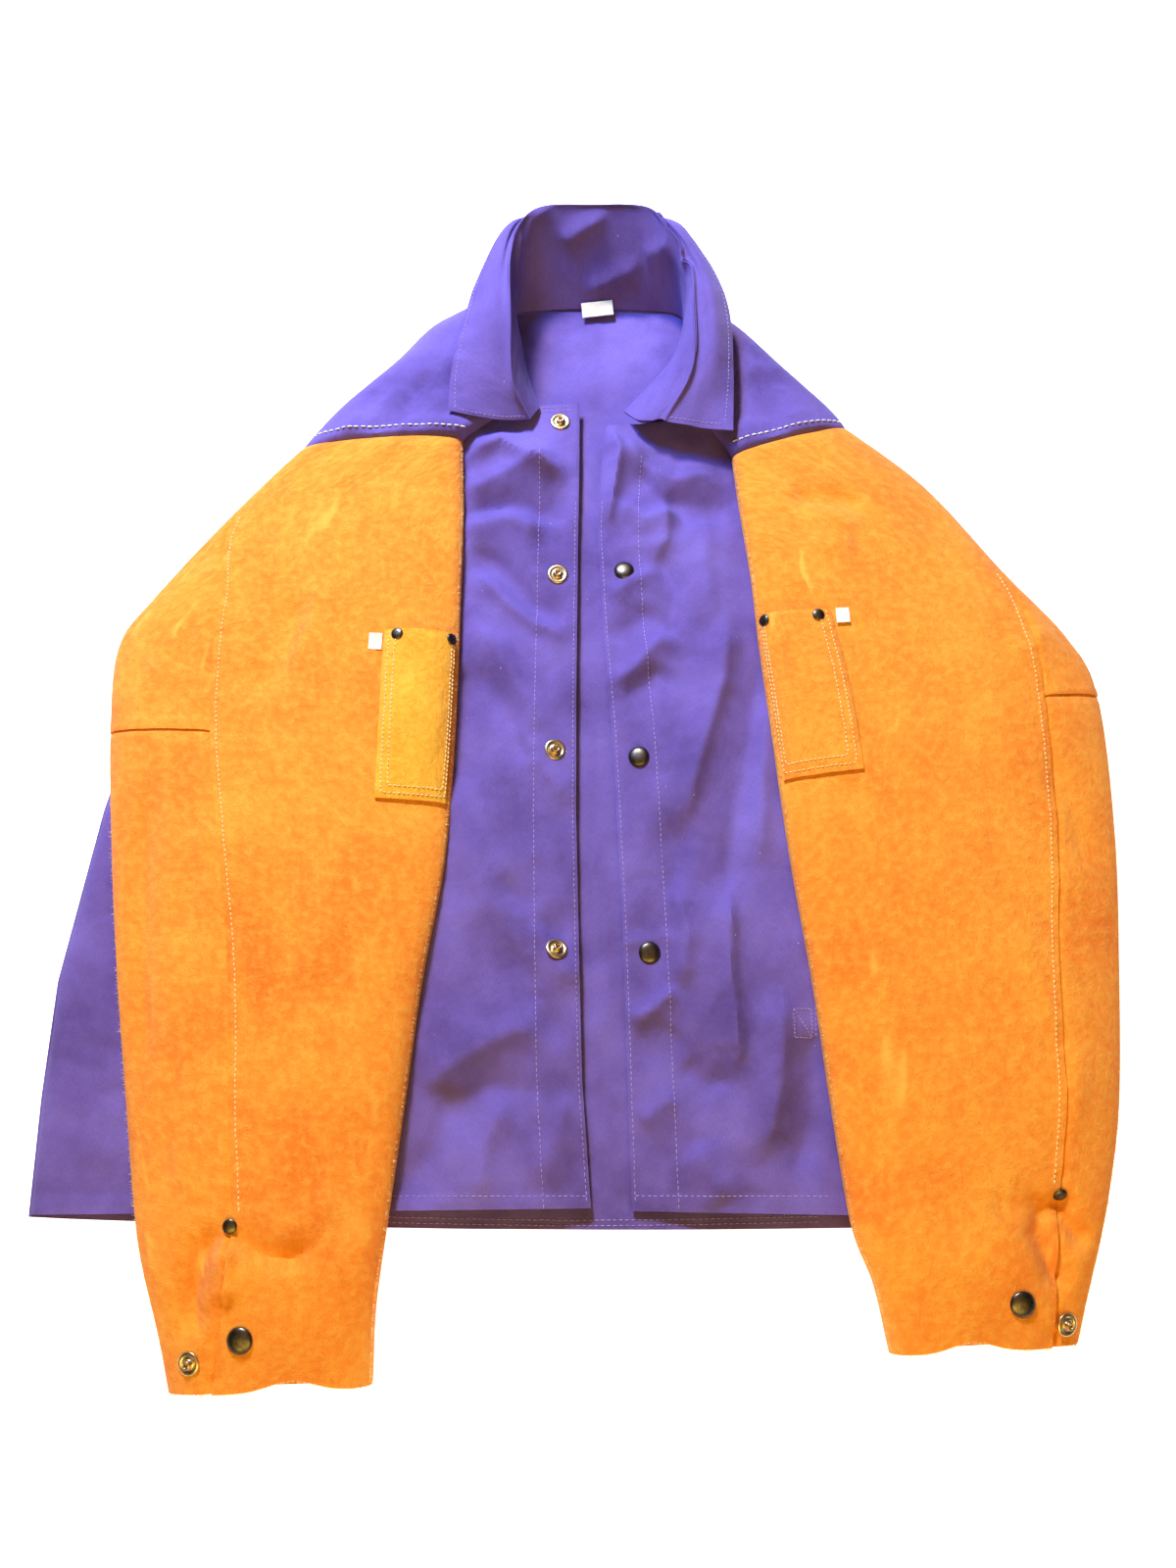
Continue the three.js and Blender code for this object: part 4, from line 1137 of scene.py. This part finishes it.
for side in ("right", "left"):
    u, v = np.meshgrid(np.linspace(0, 1, 70) ** 1.2, np.linspace(0, 1, 84))
    yoke = closed_sheet(side + "_yoke", shoulder_surface(side)(u, v), COTTON)
    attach(finish_piece(yoke, COTTON_FINISH, "blue_cotton", side + "_shoulder"), "jacket_body")

# ---------------------------------------------------------------- collar
STATIONS = (
    # foot, roll line and free edge, from the wearer's right front round the neck to the left one
    ((-40, 644, 18.5), (-48, 628, 25), (-114, 630, 35)),
    ((-48, 668, 17.6), (-61, 650, 45), (-112, 661, 41)),
    ((-56, 705, 13), (-63, 702, 62), (-104, 696, 49)),
    ((-64, 732, 8), (-64, 750, 66), (-90, 747, 56)),
    ((-62, 748, 4.2), (-58, 783, 68), (-65, 799, 56)),
    ((-33, 752, 4.2), (-39, 804, 67), (-39, 815, 20)),
    ((4, 753, 4.2), (4, 807, 66), (4, 817, 12)),
    ((42, 752, 4.2), (48, 804, 67), (48, 814, 20)),
    ((76, 748, 4.2), (65, 784, 68), (72, 799, 56)),
    ((82, 732, 8), (84, 748, 65), (102, 754, 57)),
    ((76, 703, 13), (86, 705, 61), (117, 718, 46)),
    ((56, 672, 17.6), (84, 656, 54), (119, 668, 43)),
    ((30, 640, 19), (62, 619, 37), (117, 608, 40)),
)
NECK = np.array([8.0, 706.0])
STAND_FOLDS = (
    # along the collar and up it, in millimetres
    (((158, 28), (172, 36), (190, 44)), 4.5, 3.5, 7),
    (((172, 10), (190, 15), (214, 22)), 4.0, 3.5, 6),
    (((120, 30), (140, 44), (160, 52)), 2.0, 5, 9),
    (((210, 24), (230, 30), (246, 40)), 2.5, 4, 7),
    (((96, 20), (110, 30), (126, 46)), 3.0, 5, 9),
)


def collar_surface(s, t):
    """s runs round the neck by stations, and t from the foot over the roll line to the free edge."""
    s, t = np.broadcast_arrays(np.asarray(s, float), np.asarray(t, float))
    foot, roll, edge = (through([st[k] for st in STATIONS], s) for k in range(3))
    outward = roll[..., :2] - NECK
    outward /= np.linalg.norm(outward, axis=-1, keepdims=True)
    out = np.concatenate([outward, np.zeros(outward.shape[:-1] + (1,))], axis=-1)
    fall = edge - roll
    fall /= np.linalg.norm(fall, axis=-1, keepdims=True)
    up = np.array([0, 0, 1.0])
    hem = np.array([0, -1.0, 0])
    rise = roll - foot
    rise /= np.linalg.norm(rise, axis=-1, keepdims=True)
    bulge = 2.2
    # The wearer's left wing stays level to a ridge and then falls steeply. The right one slopes evenly.
    level = ease((s - 8.4) / 0.8)[..., None]
    drop = (roll - edge)[..., 2:]
    first = 2.0 * (1 - level) + (0.34 * drop - 0.5) * level
    second = 2.4 * (1 - level) + (0.60 * drop - 1.2) * level
    reach = 0.70 * (1 - level) + 0.60 * level
    front = np.exp(-(s**2) / 0.3)[..., None]
    cover = np.exp(-((12 - s) ** 2) / 0.3)[..., None]
    controls = [
        foot,
        foot * 0.66 + roll * 0.34 - out * bulge + (hem * 9 + up * 3) * cover,
        foot * 0.3 + roll * 0.7 - out * bulge * 1.1 + (hem * 6 + up * 2) * cover,
        roll - rise * 4.0 - out * 0.6,
        roll,
        roll + fall * 4.0 - up * 1.2,
        roll * 0.66 + edge * 0.34 + up * first + hem * 5 * front,
        roll * (1 - reach) + edge * reach + up * second + hem * 4 * front,
        edge,
    ]
    knots = np.stack(controls)
    last = len(controls) - 1
    q = np.clip(t, 0, 1) * last
    k = np.minimum(q.astype(int), last - 1)
    f = (q - k)[..., None]
    pick = lambda j: np.take_along_axis(
        knots, np.clip(k + j, 0, last)[None, ..., None].repeat(3, -1), axis=0
    )[0]
    p = between(*(pick(j) for j in (-1, 0, 1, 2)), f)
    # Diagonal folds in the stand, gathers along the seams, and a soft wave in the free edge.
    round_it, up_it = s * 30, t * 120
    drag = 0.9 * billow(round_it + up_it * 0.9, up_it - round_it * 0.5, 26, 1)
    drag += 0.5 * billow(round_it + up_it, up_it, 11, 5)
    drag += 1.3 * folds(round_it, up_it, STAND_FOLDS, 1.5)
    inside = ease(t / 0.08) * (1 - ease((t - 0.42) / 0.08))
    outside = ease((t - 0.55) / 0.15)
    wave = 1.2 * billow(round_it, up_it * 0.6, 30, 3) * outside
    wave += 0.6 * pucker((1 - t) * 60, round_it, 5, reach=9, size=7)
    pinch = np.exp(-(((s - 8.75) / 0.16) ** 2)) * np.exp(-(((t - 0.5) / 0.16) ** 2))
    p = p - out * (drag * inside + 4.0 * pinch)[..., None] + up * (wave - 4.5 * pinch)[..., None]
    return p


def collar_piece(name, low, high, count, *nodes):
    s, t = np.meshgrid(np.linspace(low, high, count), np.linspace(0, 1, 84), indexing="ij")
    uv = np.stack([s * 32, t * 110], axis=-1)
    made = closed_sheet(name, collar_surface(s, t), COLLAR, None, uv, flip=True)
    return finish_piece(made, COTTON_FINISH, "blue_cotton", *nodes)


WING_BENDS = {
    "right": ((-55, 700, 60), (-90.6, 687.5, 60)),
    "left": ((73, 700, 60), (106, 688.5, 60)),
}
for name, side, low, high, nodes in (
    ("collar_right_leaf", "right", 0, 4, ("right_collar_wing",)),
    ("collar_left_leaf", "left", 8, 12, ("left_collar_wing",)),
    ("collar_back_right", "right", 4, 6, ("collar_stand", "collar_back_fall")),
    ("collar_back_left", "left", 6, 8, ("collar_stand", "collar_back_fall")),
):
    leaf = collar_piece(name, low, high, 1 + 15 * (high - low), *nodes)
    blended(leaf, "jacket_body", side + "_wing", *WING_BENDS[side])

for side, low, high, tip in (("right", 0.08, 3.9, 0.08), ("left", 8.1, 11.92, 11.92)):
    seams = Seams(27 if side == "right" else 28)
    s, t = np.linspace(low, high, 24), np.linspace(0.6, 0.955, 8)
    seams.run(collar_surface, np.column_stack([s, 0.955 + 0 * s]), 3.6, 0.68, (0.02, 0.01))
    seams.run(collar_surface, np.column_stack([tip + 0 * t, t]), 3.6, 0.68, (0.02, 0.01))
    made = finish_piece(seams.make(side + "_collar_stitching", FINE_THREAD), VIOLET_THREAD, "blue_cotton")
    blended(made, "jacket_body", side + "_wing", *WING_BENDS[side])

# ---------------------------------------------------------------- snaps and rivets
DOME = (
    (0, 0), (0.90, 0), (0.985, 0.12), (1.0, 0.26), (0.97, 0.42), (0.88, 0.62), (0.70, 0.82),
    (0.45, 0.95), (0.2, 0.995), (0, 1.0),
)
RING_STUD = (
    (0, 0), (8.25, 0), (8.3, 0.35), (8.0, 0.75), (7.3, 1.05), (6.4, 1.15), (5.7, 0.9), (5.2, 0.62),
    (4.3, 0.6), (3.6, 0.9), (3.05, 1.6), (2.9, 2.4), (3.15, 3.1), (3.05, 3.75), (2.5, 4.15),
    (1.9, 4.05), (1.55, 3.6), (1.4, 2.0), (0, 1.7),
)
SOCKET_DISC = (
    (0, 0), (6.3, 0), (6.4, 0.4), (6.1, 1.0), (5.2, 1.2), (4.6, 0.8), (4.0, 1.5), (3.4, 2.1),
    (2.8, 2.0), (2.5, 0.9), (0, 0.7),
)
POST_DISC = (
    (0, 0), (4.8, 0), (5.0, 0.3), (4.7, 0.9), (3.6, 1.3), (2.2, 1.5), (1.4, 1.3), (1.0, 0.6), (0, 0.5),
)


def dome(radius, height):
    return [(r * radius, h * height) for r, h in DOME]


def scaled(profile, size):
    return [(r * size, h * size) for r, h in profile]


def fasten(name, profile, finish, slot, point, normal, body, lift=0.1):
    made = lathe(name, profile, np.asarray(point) + np.asarray(normal) * lift, normal)
    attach(finish_piece(made, finish, slot, name.replace("_metal", "")), body)


def spot(surface, a, b, step_a, step_b):
    """A point on a surface, and the way straight up from the surface there."""
    a, b = np.array([float(a)]), np.array([float(b)])
    n = surface_normal(surface, a, b, step_a, step_b)[0]
    return surface(a, b)[0], n * np.sign(n[2])


def on_front(side, x, y):
    return spot(front_surface(side), x, y, 5.0, 5.0)


def on_sleeve(sleeve, row, share):
    return spot(sleeve.surface, row, share, 0.03, 0.02)


def snap(names, outer, inner, point, normal, body, depth):
    """The two metal halves of a snap, on the outer and the inner face of the cloth."""
    outer_profile, finish, slot = outer
    fasten(names[0], outer_profile, finish, slot, point, normal, body)
    fasten(names[1], inner, BRASS_FINISH, "brass", point - normal * depth, -normal, body)


def cap(radius, height):
    return dome(radius, height), DARK_FINISH, "dark_brass"


def stud(size=1.0):
    return scaled(RING_STUD, size), BRASS_FINISH, "brass"


for number, y in enumerate((191, 340, 496), 1):
    p, n = on_front("left", float(outline_at(EDGE["left"], y)) + CAP_INSET, y)
    names = f"front_snap_cap_{number}_metal", f"front_snap_socket_{number}_metal"
    snap(names, cap(SNAP_RADIUS, 3.4), SOCKET_DISC, p, n, "left_front", 2.9)
p, n = on_front("left", 45, 640)
names = "front_snap_cap_4_metal", "front_snap_socket_4_metal"
snap(names, cap(SNAP_RADIUS, 2.8), SOCKET_DISC, p, n, "jacket_body", 2.0)
for number, y in enumerate((193, 345, 493, 632), 1):
    p, n = on_front("right", float(outline_at(EDGE["right"], y)) - STUD_INSET, y)
    names = f"front_snap_stud_{number}_metal", f"front_snap_post_{number}_metal"
    snap(names, stud(), POST_DISC, p, n, "right_front", 2.9)

for side, sleeve in SLEEVES.items():
    arm, cuff = side + "_sleeve", side + "_cuff"
    names = side + "_cuff_cap_metal", side + "_cuff_socket_metal"
    snap(names, cap(CUFF_SNAP_RADIUS, 3.6), SOCKET_DISC, *on_sleeve(sleeve, *sleeve.cap), cuff, 2.0)
    names = side + "_cuff_stud_metal", side + "_cuff_post_metal"
    snap(names, stud(0.92), POST_DISC, *on_sleeve(sleeve, *sleeve.stud), arm, 2.0)
    rivets = [("slit_rivet", 4.9, 1.9, *on_sleeve(sleeve, *sleeve.rivet))]
    for where, u in (("outer", 0.13), ("inner", 0.87)):
        place = spot(pocket_faces[side], u, 0.955, 0.03, 0.02)
        rivets.append(("pocket_rivet_" + where, 4.6, 1.8, *place))
    for name, radius, height, p, n in rivets:
        fasten(f"{side}_{name}_metal", *cap(radius, height), p, n, arm, 0.0)

# ---------------------------------------------------------------- label and tags


def small_tape(name, origin, right, up, normal, width, height, curl, node, body):
    """A blank piece of woven tape, folded at its free end."""
    u, v = np.meshgrid(np.linspace(-0.5, 0.5, 16), np.linspace(-0.5, 0.5, 12))
    lift = curl * (v + 0.5) ** 2 + 0.35 * billow(u * width + 40, v * height + 40, 6, 2) + 0.6
    right, up, normal = (np.asarray(v, float) for v in (right, up, normal))
    points = np.asarray(origin) + u[..., None] * width * right + v[..., None] * height * up
    points = points + lift[..., None] * normal
    made = closed_sheet(name, points, 0.7)
    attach(finish_piece(made, TAPE_FINISH, "label_tape", node), body)


def unit(v):
    v = np.asarray(v, float)
    return v / np.linalg.norm(v)


right = unit((1.0, 0.13, 0.0))
up = unit((-0.11, 0.93, 0.34))
small_tape(
    "neck_tape", (8, 748.5, 9.5), right, up, unit(np.cross(right, up)), 27, 12, 0.8,
    "neck_label", "jacket_body",
)

for side, sleeve in SLEEVES.items():
    p, n = on_sleeve(sleeve, *sleeve.tag)
    row, share = sleeve.tag
    right = unit(sleeve.surface(row, share + 0.02) - sleeve.surface(row, share - 0.02))
    up = unit(np.cross(n, right))
    small_tape(side + "_size_tape", p, right, up, n, 10, 13, 1.6, side + "_size_tag", side + "_sleeve")

# ---------------------------------------------------------------- stitches
for side in ("right", "left"):
    edge, sign, surface = EDGE[side], INWARD[side], front_surface(side)
    seams = Seams(21 if side == "right" else 22)
    ys = np.linspace(15, 600, 24)
    seams.run(surface, np.column_stack([outline_at(edge, ys) - sign * STITCH_INSET, ys]), 4.0)
    xs = np.linspace(outline_at(edge, 24) - sign * 2, -140 if side == "right" else 166, 12)
    seams.run(surface, np.column_stack([xs, FRONT_HEM + 1 + HEM_BAND + 0 * xs]), 4.2)
    ys = np.linspace(20, 560, 24)
    seams.run(surface, np.column_stack([outline_at(edge, ys) - sign * 2.6, ys]), 4.0)
    if side == "right":
        for inset in (3.0, 7.0):
            seams.run(surface, ((-42, 648 - inset), (-9, 651.5 - inset)), 3.4)
    made = seams.make(side + "_front_stitching", FINE_THREAD)
    across_fold(finish_piece(made, VIOLET_THREAD, "blue_cotton"), side)

seams = Seams(23)
for y in (10, 13.5):
    seams.run(back_surface, ((-160, y - 3), (0, y - 5.5), (160, y - 3)), 4.2)
for x0, x1 in ((163, 154), (168, 159)):
    seams.run(front_surface("left"), ((x0 - 14, 320), (x0 - 2, 200), (x1 + 8, 130)), 3.6)
bar_tack = ((146, 150), (159, 150), (159, 130), (146, 130), (146, 150))
seams.run(front_surface("left"), bar_tack, 2.6, curve=False)
seams.run(front_surface("left"), bar_tack[0:3:2], 2.6)
made = seams.make("body_stitching", FINE_THREAD)
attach(finish_piece(made, VIOLET_THREAD, "blue_cotton"), "jacket_body")

seams = Seams(24)
for side in ("right", "left"):
    surface = shoulder_surface(side)
    us = np.linspace(0.03, 0.97, 12)
    seams.run(surface, np.column_stack([us, 0.046 + 0 * us]), 5.4, 0.74, (0.02, 0.01), 0.35)
made = seams.make("shoulder_stitching", HEAVY_THREAD)
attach(finish_piece(made, WHITE_THREAD, "label_tape"), "jacket_body")

for side, sleeve in SLEEVES.items():
    seams = Seams(25 if side == "right" else 26)
    rows = np.linspace(2.2, sleeve.seam_end, 30)
    seams.run(sleeve.surface, np.column_stack([rows, sleeve.seam(rows, 5.5)]), 3.6, 0.7, (0.03, 0.01), 0.15)
    face = pocket_faces[side]
    for inset in (0.05, 0.115):
        v0 = inset * 0.5
        half = ((inset, 0.99), (inset, v0 + 0.02), (inset + 0.01, v0))
        path = half + tuple((1 - u, v) for u, v in reversed(half))
        seams.run(face, path, 3.4, 0.7, (0.02, 0.01), 0.15, curve=False)
    made = seams.make(side + "_sleeve_stitching", LEATHER_THREAD)
    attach(finish_piece(made, GOLD_THREAD, "split_leather"), side + "_sleeve")

# ---------------------------------------------------------------- nap along the cut edges of the leather


def nap(name, surface, line, count, seed, out, body):
    """Loose fibres that stand out from an edge, given as a line of two surface coordinates."""
    random = np.random.default_rng(seed)
    line = np.asarray(line, float)
    t = random.uniform(0, len(line) - 1, count)
    places = np.column_stack([np.interp(t, np.arange(len(line)), line[:, k]) for k in (0, 1)])
    starts = surface(places[:, 0], places[:, 1])
    n = surface_normal(surface, places[:, 0], places[:, 1], 0.02, 0.004)
    n = n * np.sign(n[:, 2:] + 1e-6)
    out = np.tile(out, (count, 1))
    along = np.cross(n, out)
    size = random.uniform(0.7, 2.6, (count, 1)) * random.uniform(0.5, 1.2, (count, 1))
    lean = out + along * random.uniform(-1.4, 1.4, (count, 1)) + n * random.uniform(-0.5, 0.5, (count, 1))
    ends = starts + lean / np.linalg.norm(lean, axis=1, keepdims=True) * size
    made = rods(name, starts, ends, n + 0.01, FIBRE, FIBRE_STATIONS, 4)
    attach(finish_piece(made, GOLD_THREAD, "split_leather"), body)


for side, sleeve in SLEEVES.items():
    arm = side + "_sleeve"
    rows, shares = np.linspace(0.05, 9.9, 120), np.linspace(0.02, 0.98, 40)
    inner = np.column_stack([rows, 0.992 + 0 * rows])
    outer = np.column_stack([rows, 0.006 + 0 * rows])
    end = np.column_stack([0.004 + 0 * shares, shares])
    inward = (-float(sleeve.sign), 0.0, 0.0)
    outward = (float(sleeve.sign), 0.0, 0.0)
    nap(side + "_inner_nap", sleeve.surface, inner, 900, 31, inward, arm)
    nap(side + "_outer_nap", sleeve.surface, outer, 500, 32, outward, arm)
    nap(side + "_cuff_nap", sleeve.surface, end, 320, 33, (0.0, -1.0, 0.0), arm)

# ---------------------------------------------------------------- what each sheet was cut to
# name, how it is held, the cut's width and length, its flat area, what it rests on, what goes with it
SHEETS = [
    ("back", "laid", (0.712, 0.757), 0.436, (), ("body_stitching",)),
    ("collar_back_right", "folded", (0.085, 0.115), 0.0092, ("back",), ()),
    ("collar_back_left", "folded", (0.085, 0.115), 0.0092, ("back",), ()),
    (
        "collar_left_leaf", "folded", (0.15, 0.115), 0.0155,
        ("left_front", "left_yoke"), ("left_collar_stitching",),
    ),
    (
        "collar_right_leaf", "folded", (0.15, 0.115), 0.0141,
        ("right_front", "right_yoke"), ("right_collar_stitching",),
    ),
    ("inside_pocket_bag", "hung", (0.14, 0.204), 0.0285, ("left_front",), ()),
    ("neck_tape", "hung", (0.027, 0.013), 0.00035, ("back",), ()),
]
for side, front, facing, yoke, main, under, lower, upper, patch, corner in (
    (
        "right", ((0.392, 0.642), 0.207), ((0.038, 0.584), 0.0218), ((0.19, 0.16), 0.0184),
        ((0.192, 0.708), 0.108), ((0.268, 0.71), 0.148), ((0.137, 0.462), 0.0412),
        ((0.103, 0.204), 0.0141), ((0.058, 0.142), 0.0079), ((0.055, 0.085), 0.0025),
    ),
    (
        "left", ((0.322, 0.632), 0.178), ((0.038, 0.584), 0.0211), ((0.14, 0.16), 0.0137),
        ((0.232, 0.698), 0.120), ((0.276, 0.698), 0.138), ((0.104, 0.462), 0.0267),
        ((0.083, 0.126), 0.0054), ((0.06, 0.145), 0.0082), ((0.063, 0.083), 0.0024),
    ),
):
    arm = side + "_sleeve"
    SHEETS += [
        (side + "_front", "laid", *front, ("back",), (side + "_front_stitching",)),
        (side + "_facing", "folded", *facing, (side + "_front",), ()),
        (side + "_yoke", "laid", *yoke, ("back",), ()),
        (
            arm + "_main", "laid", *main, (arm + "_under",),
            (arm + "_stitching", side + "_inner_nap", side + "_outer_nap"),
        ),
        (arm + "_under", "laid", *under, (side + "_front", "back"), ()),
        (arm + "_side_lower", "laid", *lower, (arm + "_under",), (side + "_cuff_nap",)),
        (arm + "_side_upper", "laid", *upper, (arm + "_under",), ()),
        (arm + "_patch", "laid", *patch, (arm + "_main",), ()),
        (side + "_cuff_corner", "laid", *corner, (arm + "_under",), ()),
        (side + "_size_tape", "hung", (0.010, 0.013), 0.00013, (arm + "_main",), ()),
    ]

# ---------------------------------------------------------------- floor, light and camera, in metres
FLOOR_SIZE, FLOOR_LEVEL = 12, -0.0005
CAMERA_PLACE, CAMERA_TILT = (-0.0035, -0.30125, 0.86233), 17
LENS, SENSOR = 27, 36

bpy.ops.mesh.primitive_plane_add(size=FLOOR_SIZE, location=(0, 0, FLOOR_LEVEL))
floor = bpy.context.object
floor.name = "floor"
paper = Finish(
    "floor_paper", Roughness=0.9, Specular_IOR_Level=0.1,
    Emission_Color=shade(1, 1, 1), Emission_Strength=1.0,
)
grain = paper.noise(paper.place("Object"), 3.0, 2.0)
floor.data.materials.append(
    paper.feed(Base_Color=paper.mix(grain, shade(0.93, 0.93, 0.93), shade(0.95, 0.95, 0.95)))
)
floor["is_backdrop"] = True


def softbox(name, place, aim, size, power, colour):
    lamp = bpy.data.lights.new(name, "AREA")
    lamp.shape = "RECTANGLE"
    lamp.size, lamp.size_y = size
    lamp.energy = power
    lamp.color = colour
    made = bpy.data.objects.new(name, lamp)
    made.location = place
    made.rotation_euler = (Vector(aim) - Vector(place)).to_track_quat("-Z", "Y").to_euler()
    bpy.context.scene.collection.objects.link(made)


softbox("key_light", (-0.45, 1.45, 1.3), (0, 0.05, 0), (0.24, 0.24), 52, (0.97, 0.93, 0.68))
softbox("sky_light", (-0.35, 0.85, 0.8), (0, 0.1, 0), (0.4, 0.3), 20, (0.12, 0.36, 1.0))
softbox("top_light", (0.0, -0.3, 2.4), (0, 0, 0), (2.4, 2.4), 10, (1.0, 0.66, 0.34))
softbox("front_light", (0.0, -1.6, 1.2), (0, -0.2, 0), (2.0, 0.9), 26, (1.0, 0.74, 0.16))

world = bpy.data.worlds.new("studio")
bpy.context.scene.world = world
world.use_nodes = True
glow = world.node_tree.nodes["Background"].inputs
glow["Color"].default_value = shade(1, 0.9, 0.8)
glow["Strength"].default_value = 0.035

camera = bpy.data.cameras.new("camera")
camera.lens, camera.sensor_width = LENS, SENSOR
viewer = bpy.data.objects.new("camera", camera)
viewer.location = CAMERA_PLACE
viewer.rotation_euler = (math.radians(CAMERA_TILT), 0, 0)
bpy.context.scene.collection.objects.link(viewer)
bpy.context.scene.camera = viewer
bpy.context.scene.view_settings.view_transform = "Standard"

visual_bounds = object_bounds()
({
        "cad": [list(corner) for corner in cad_bounds],
        "visual": [list(corner) for corner in visual_bounds],
    })
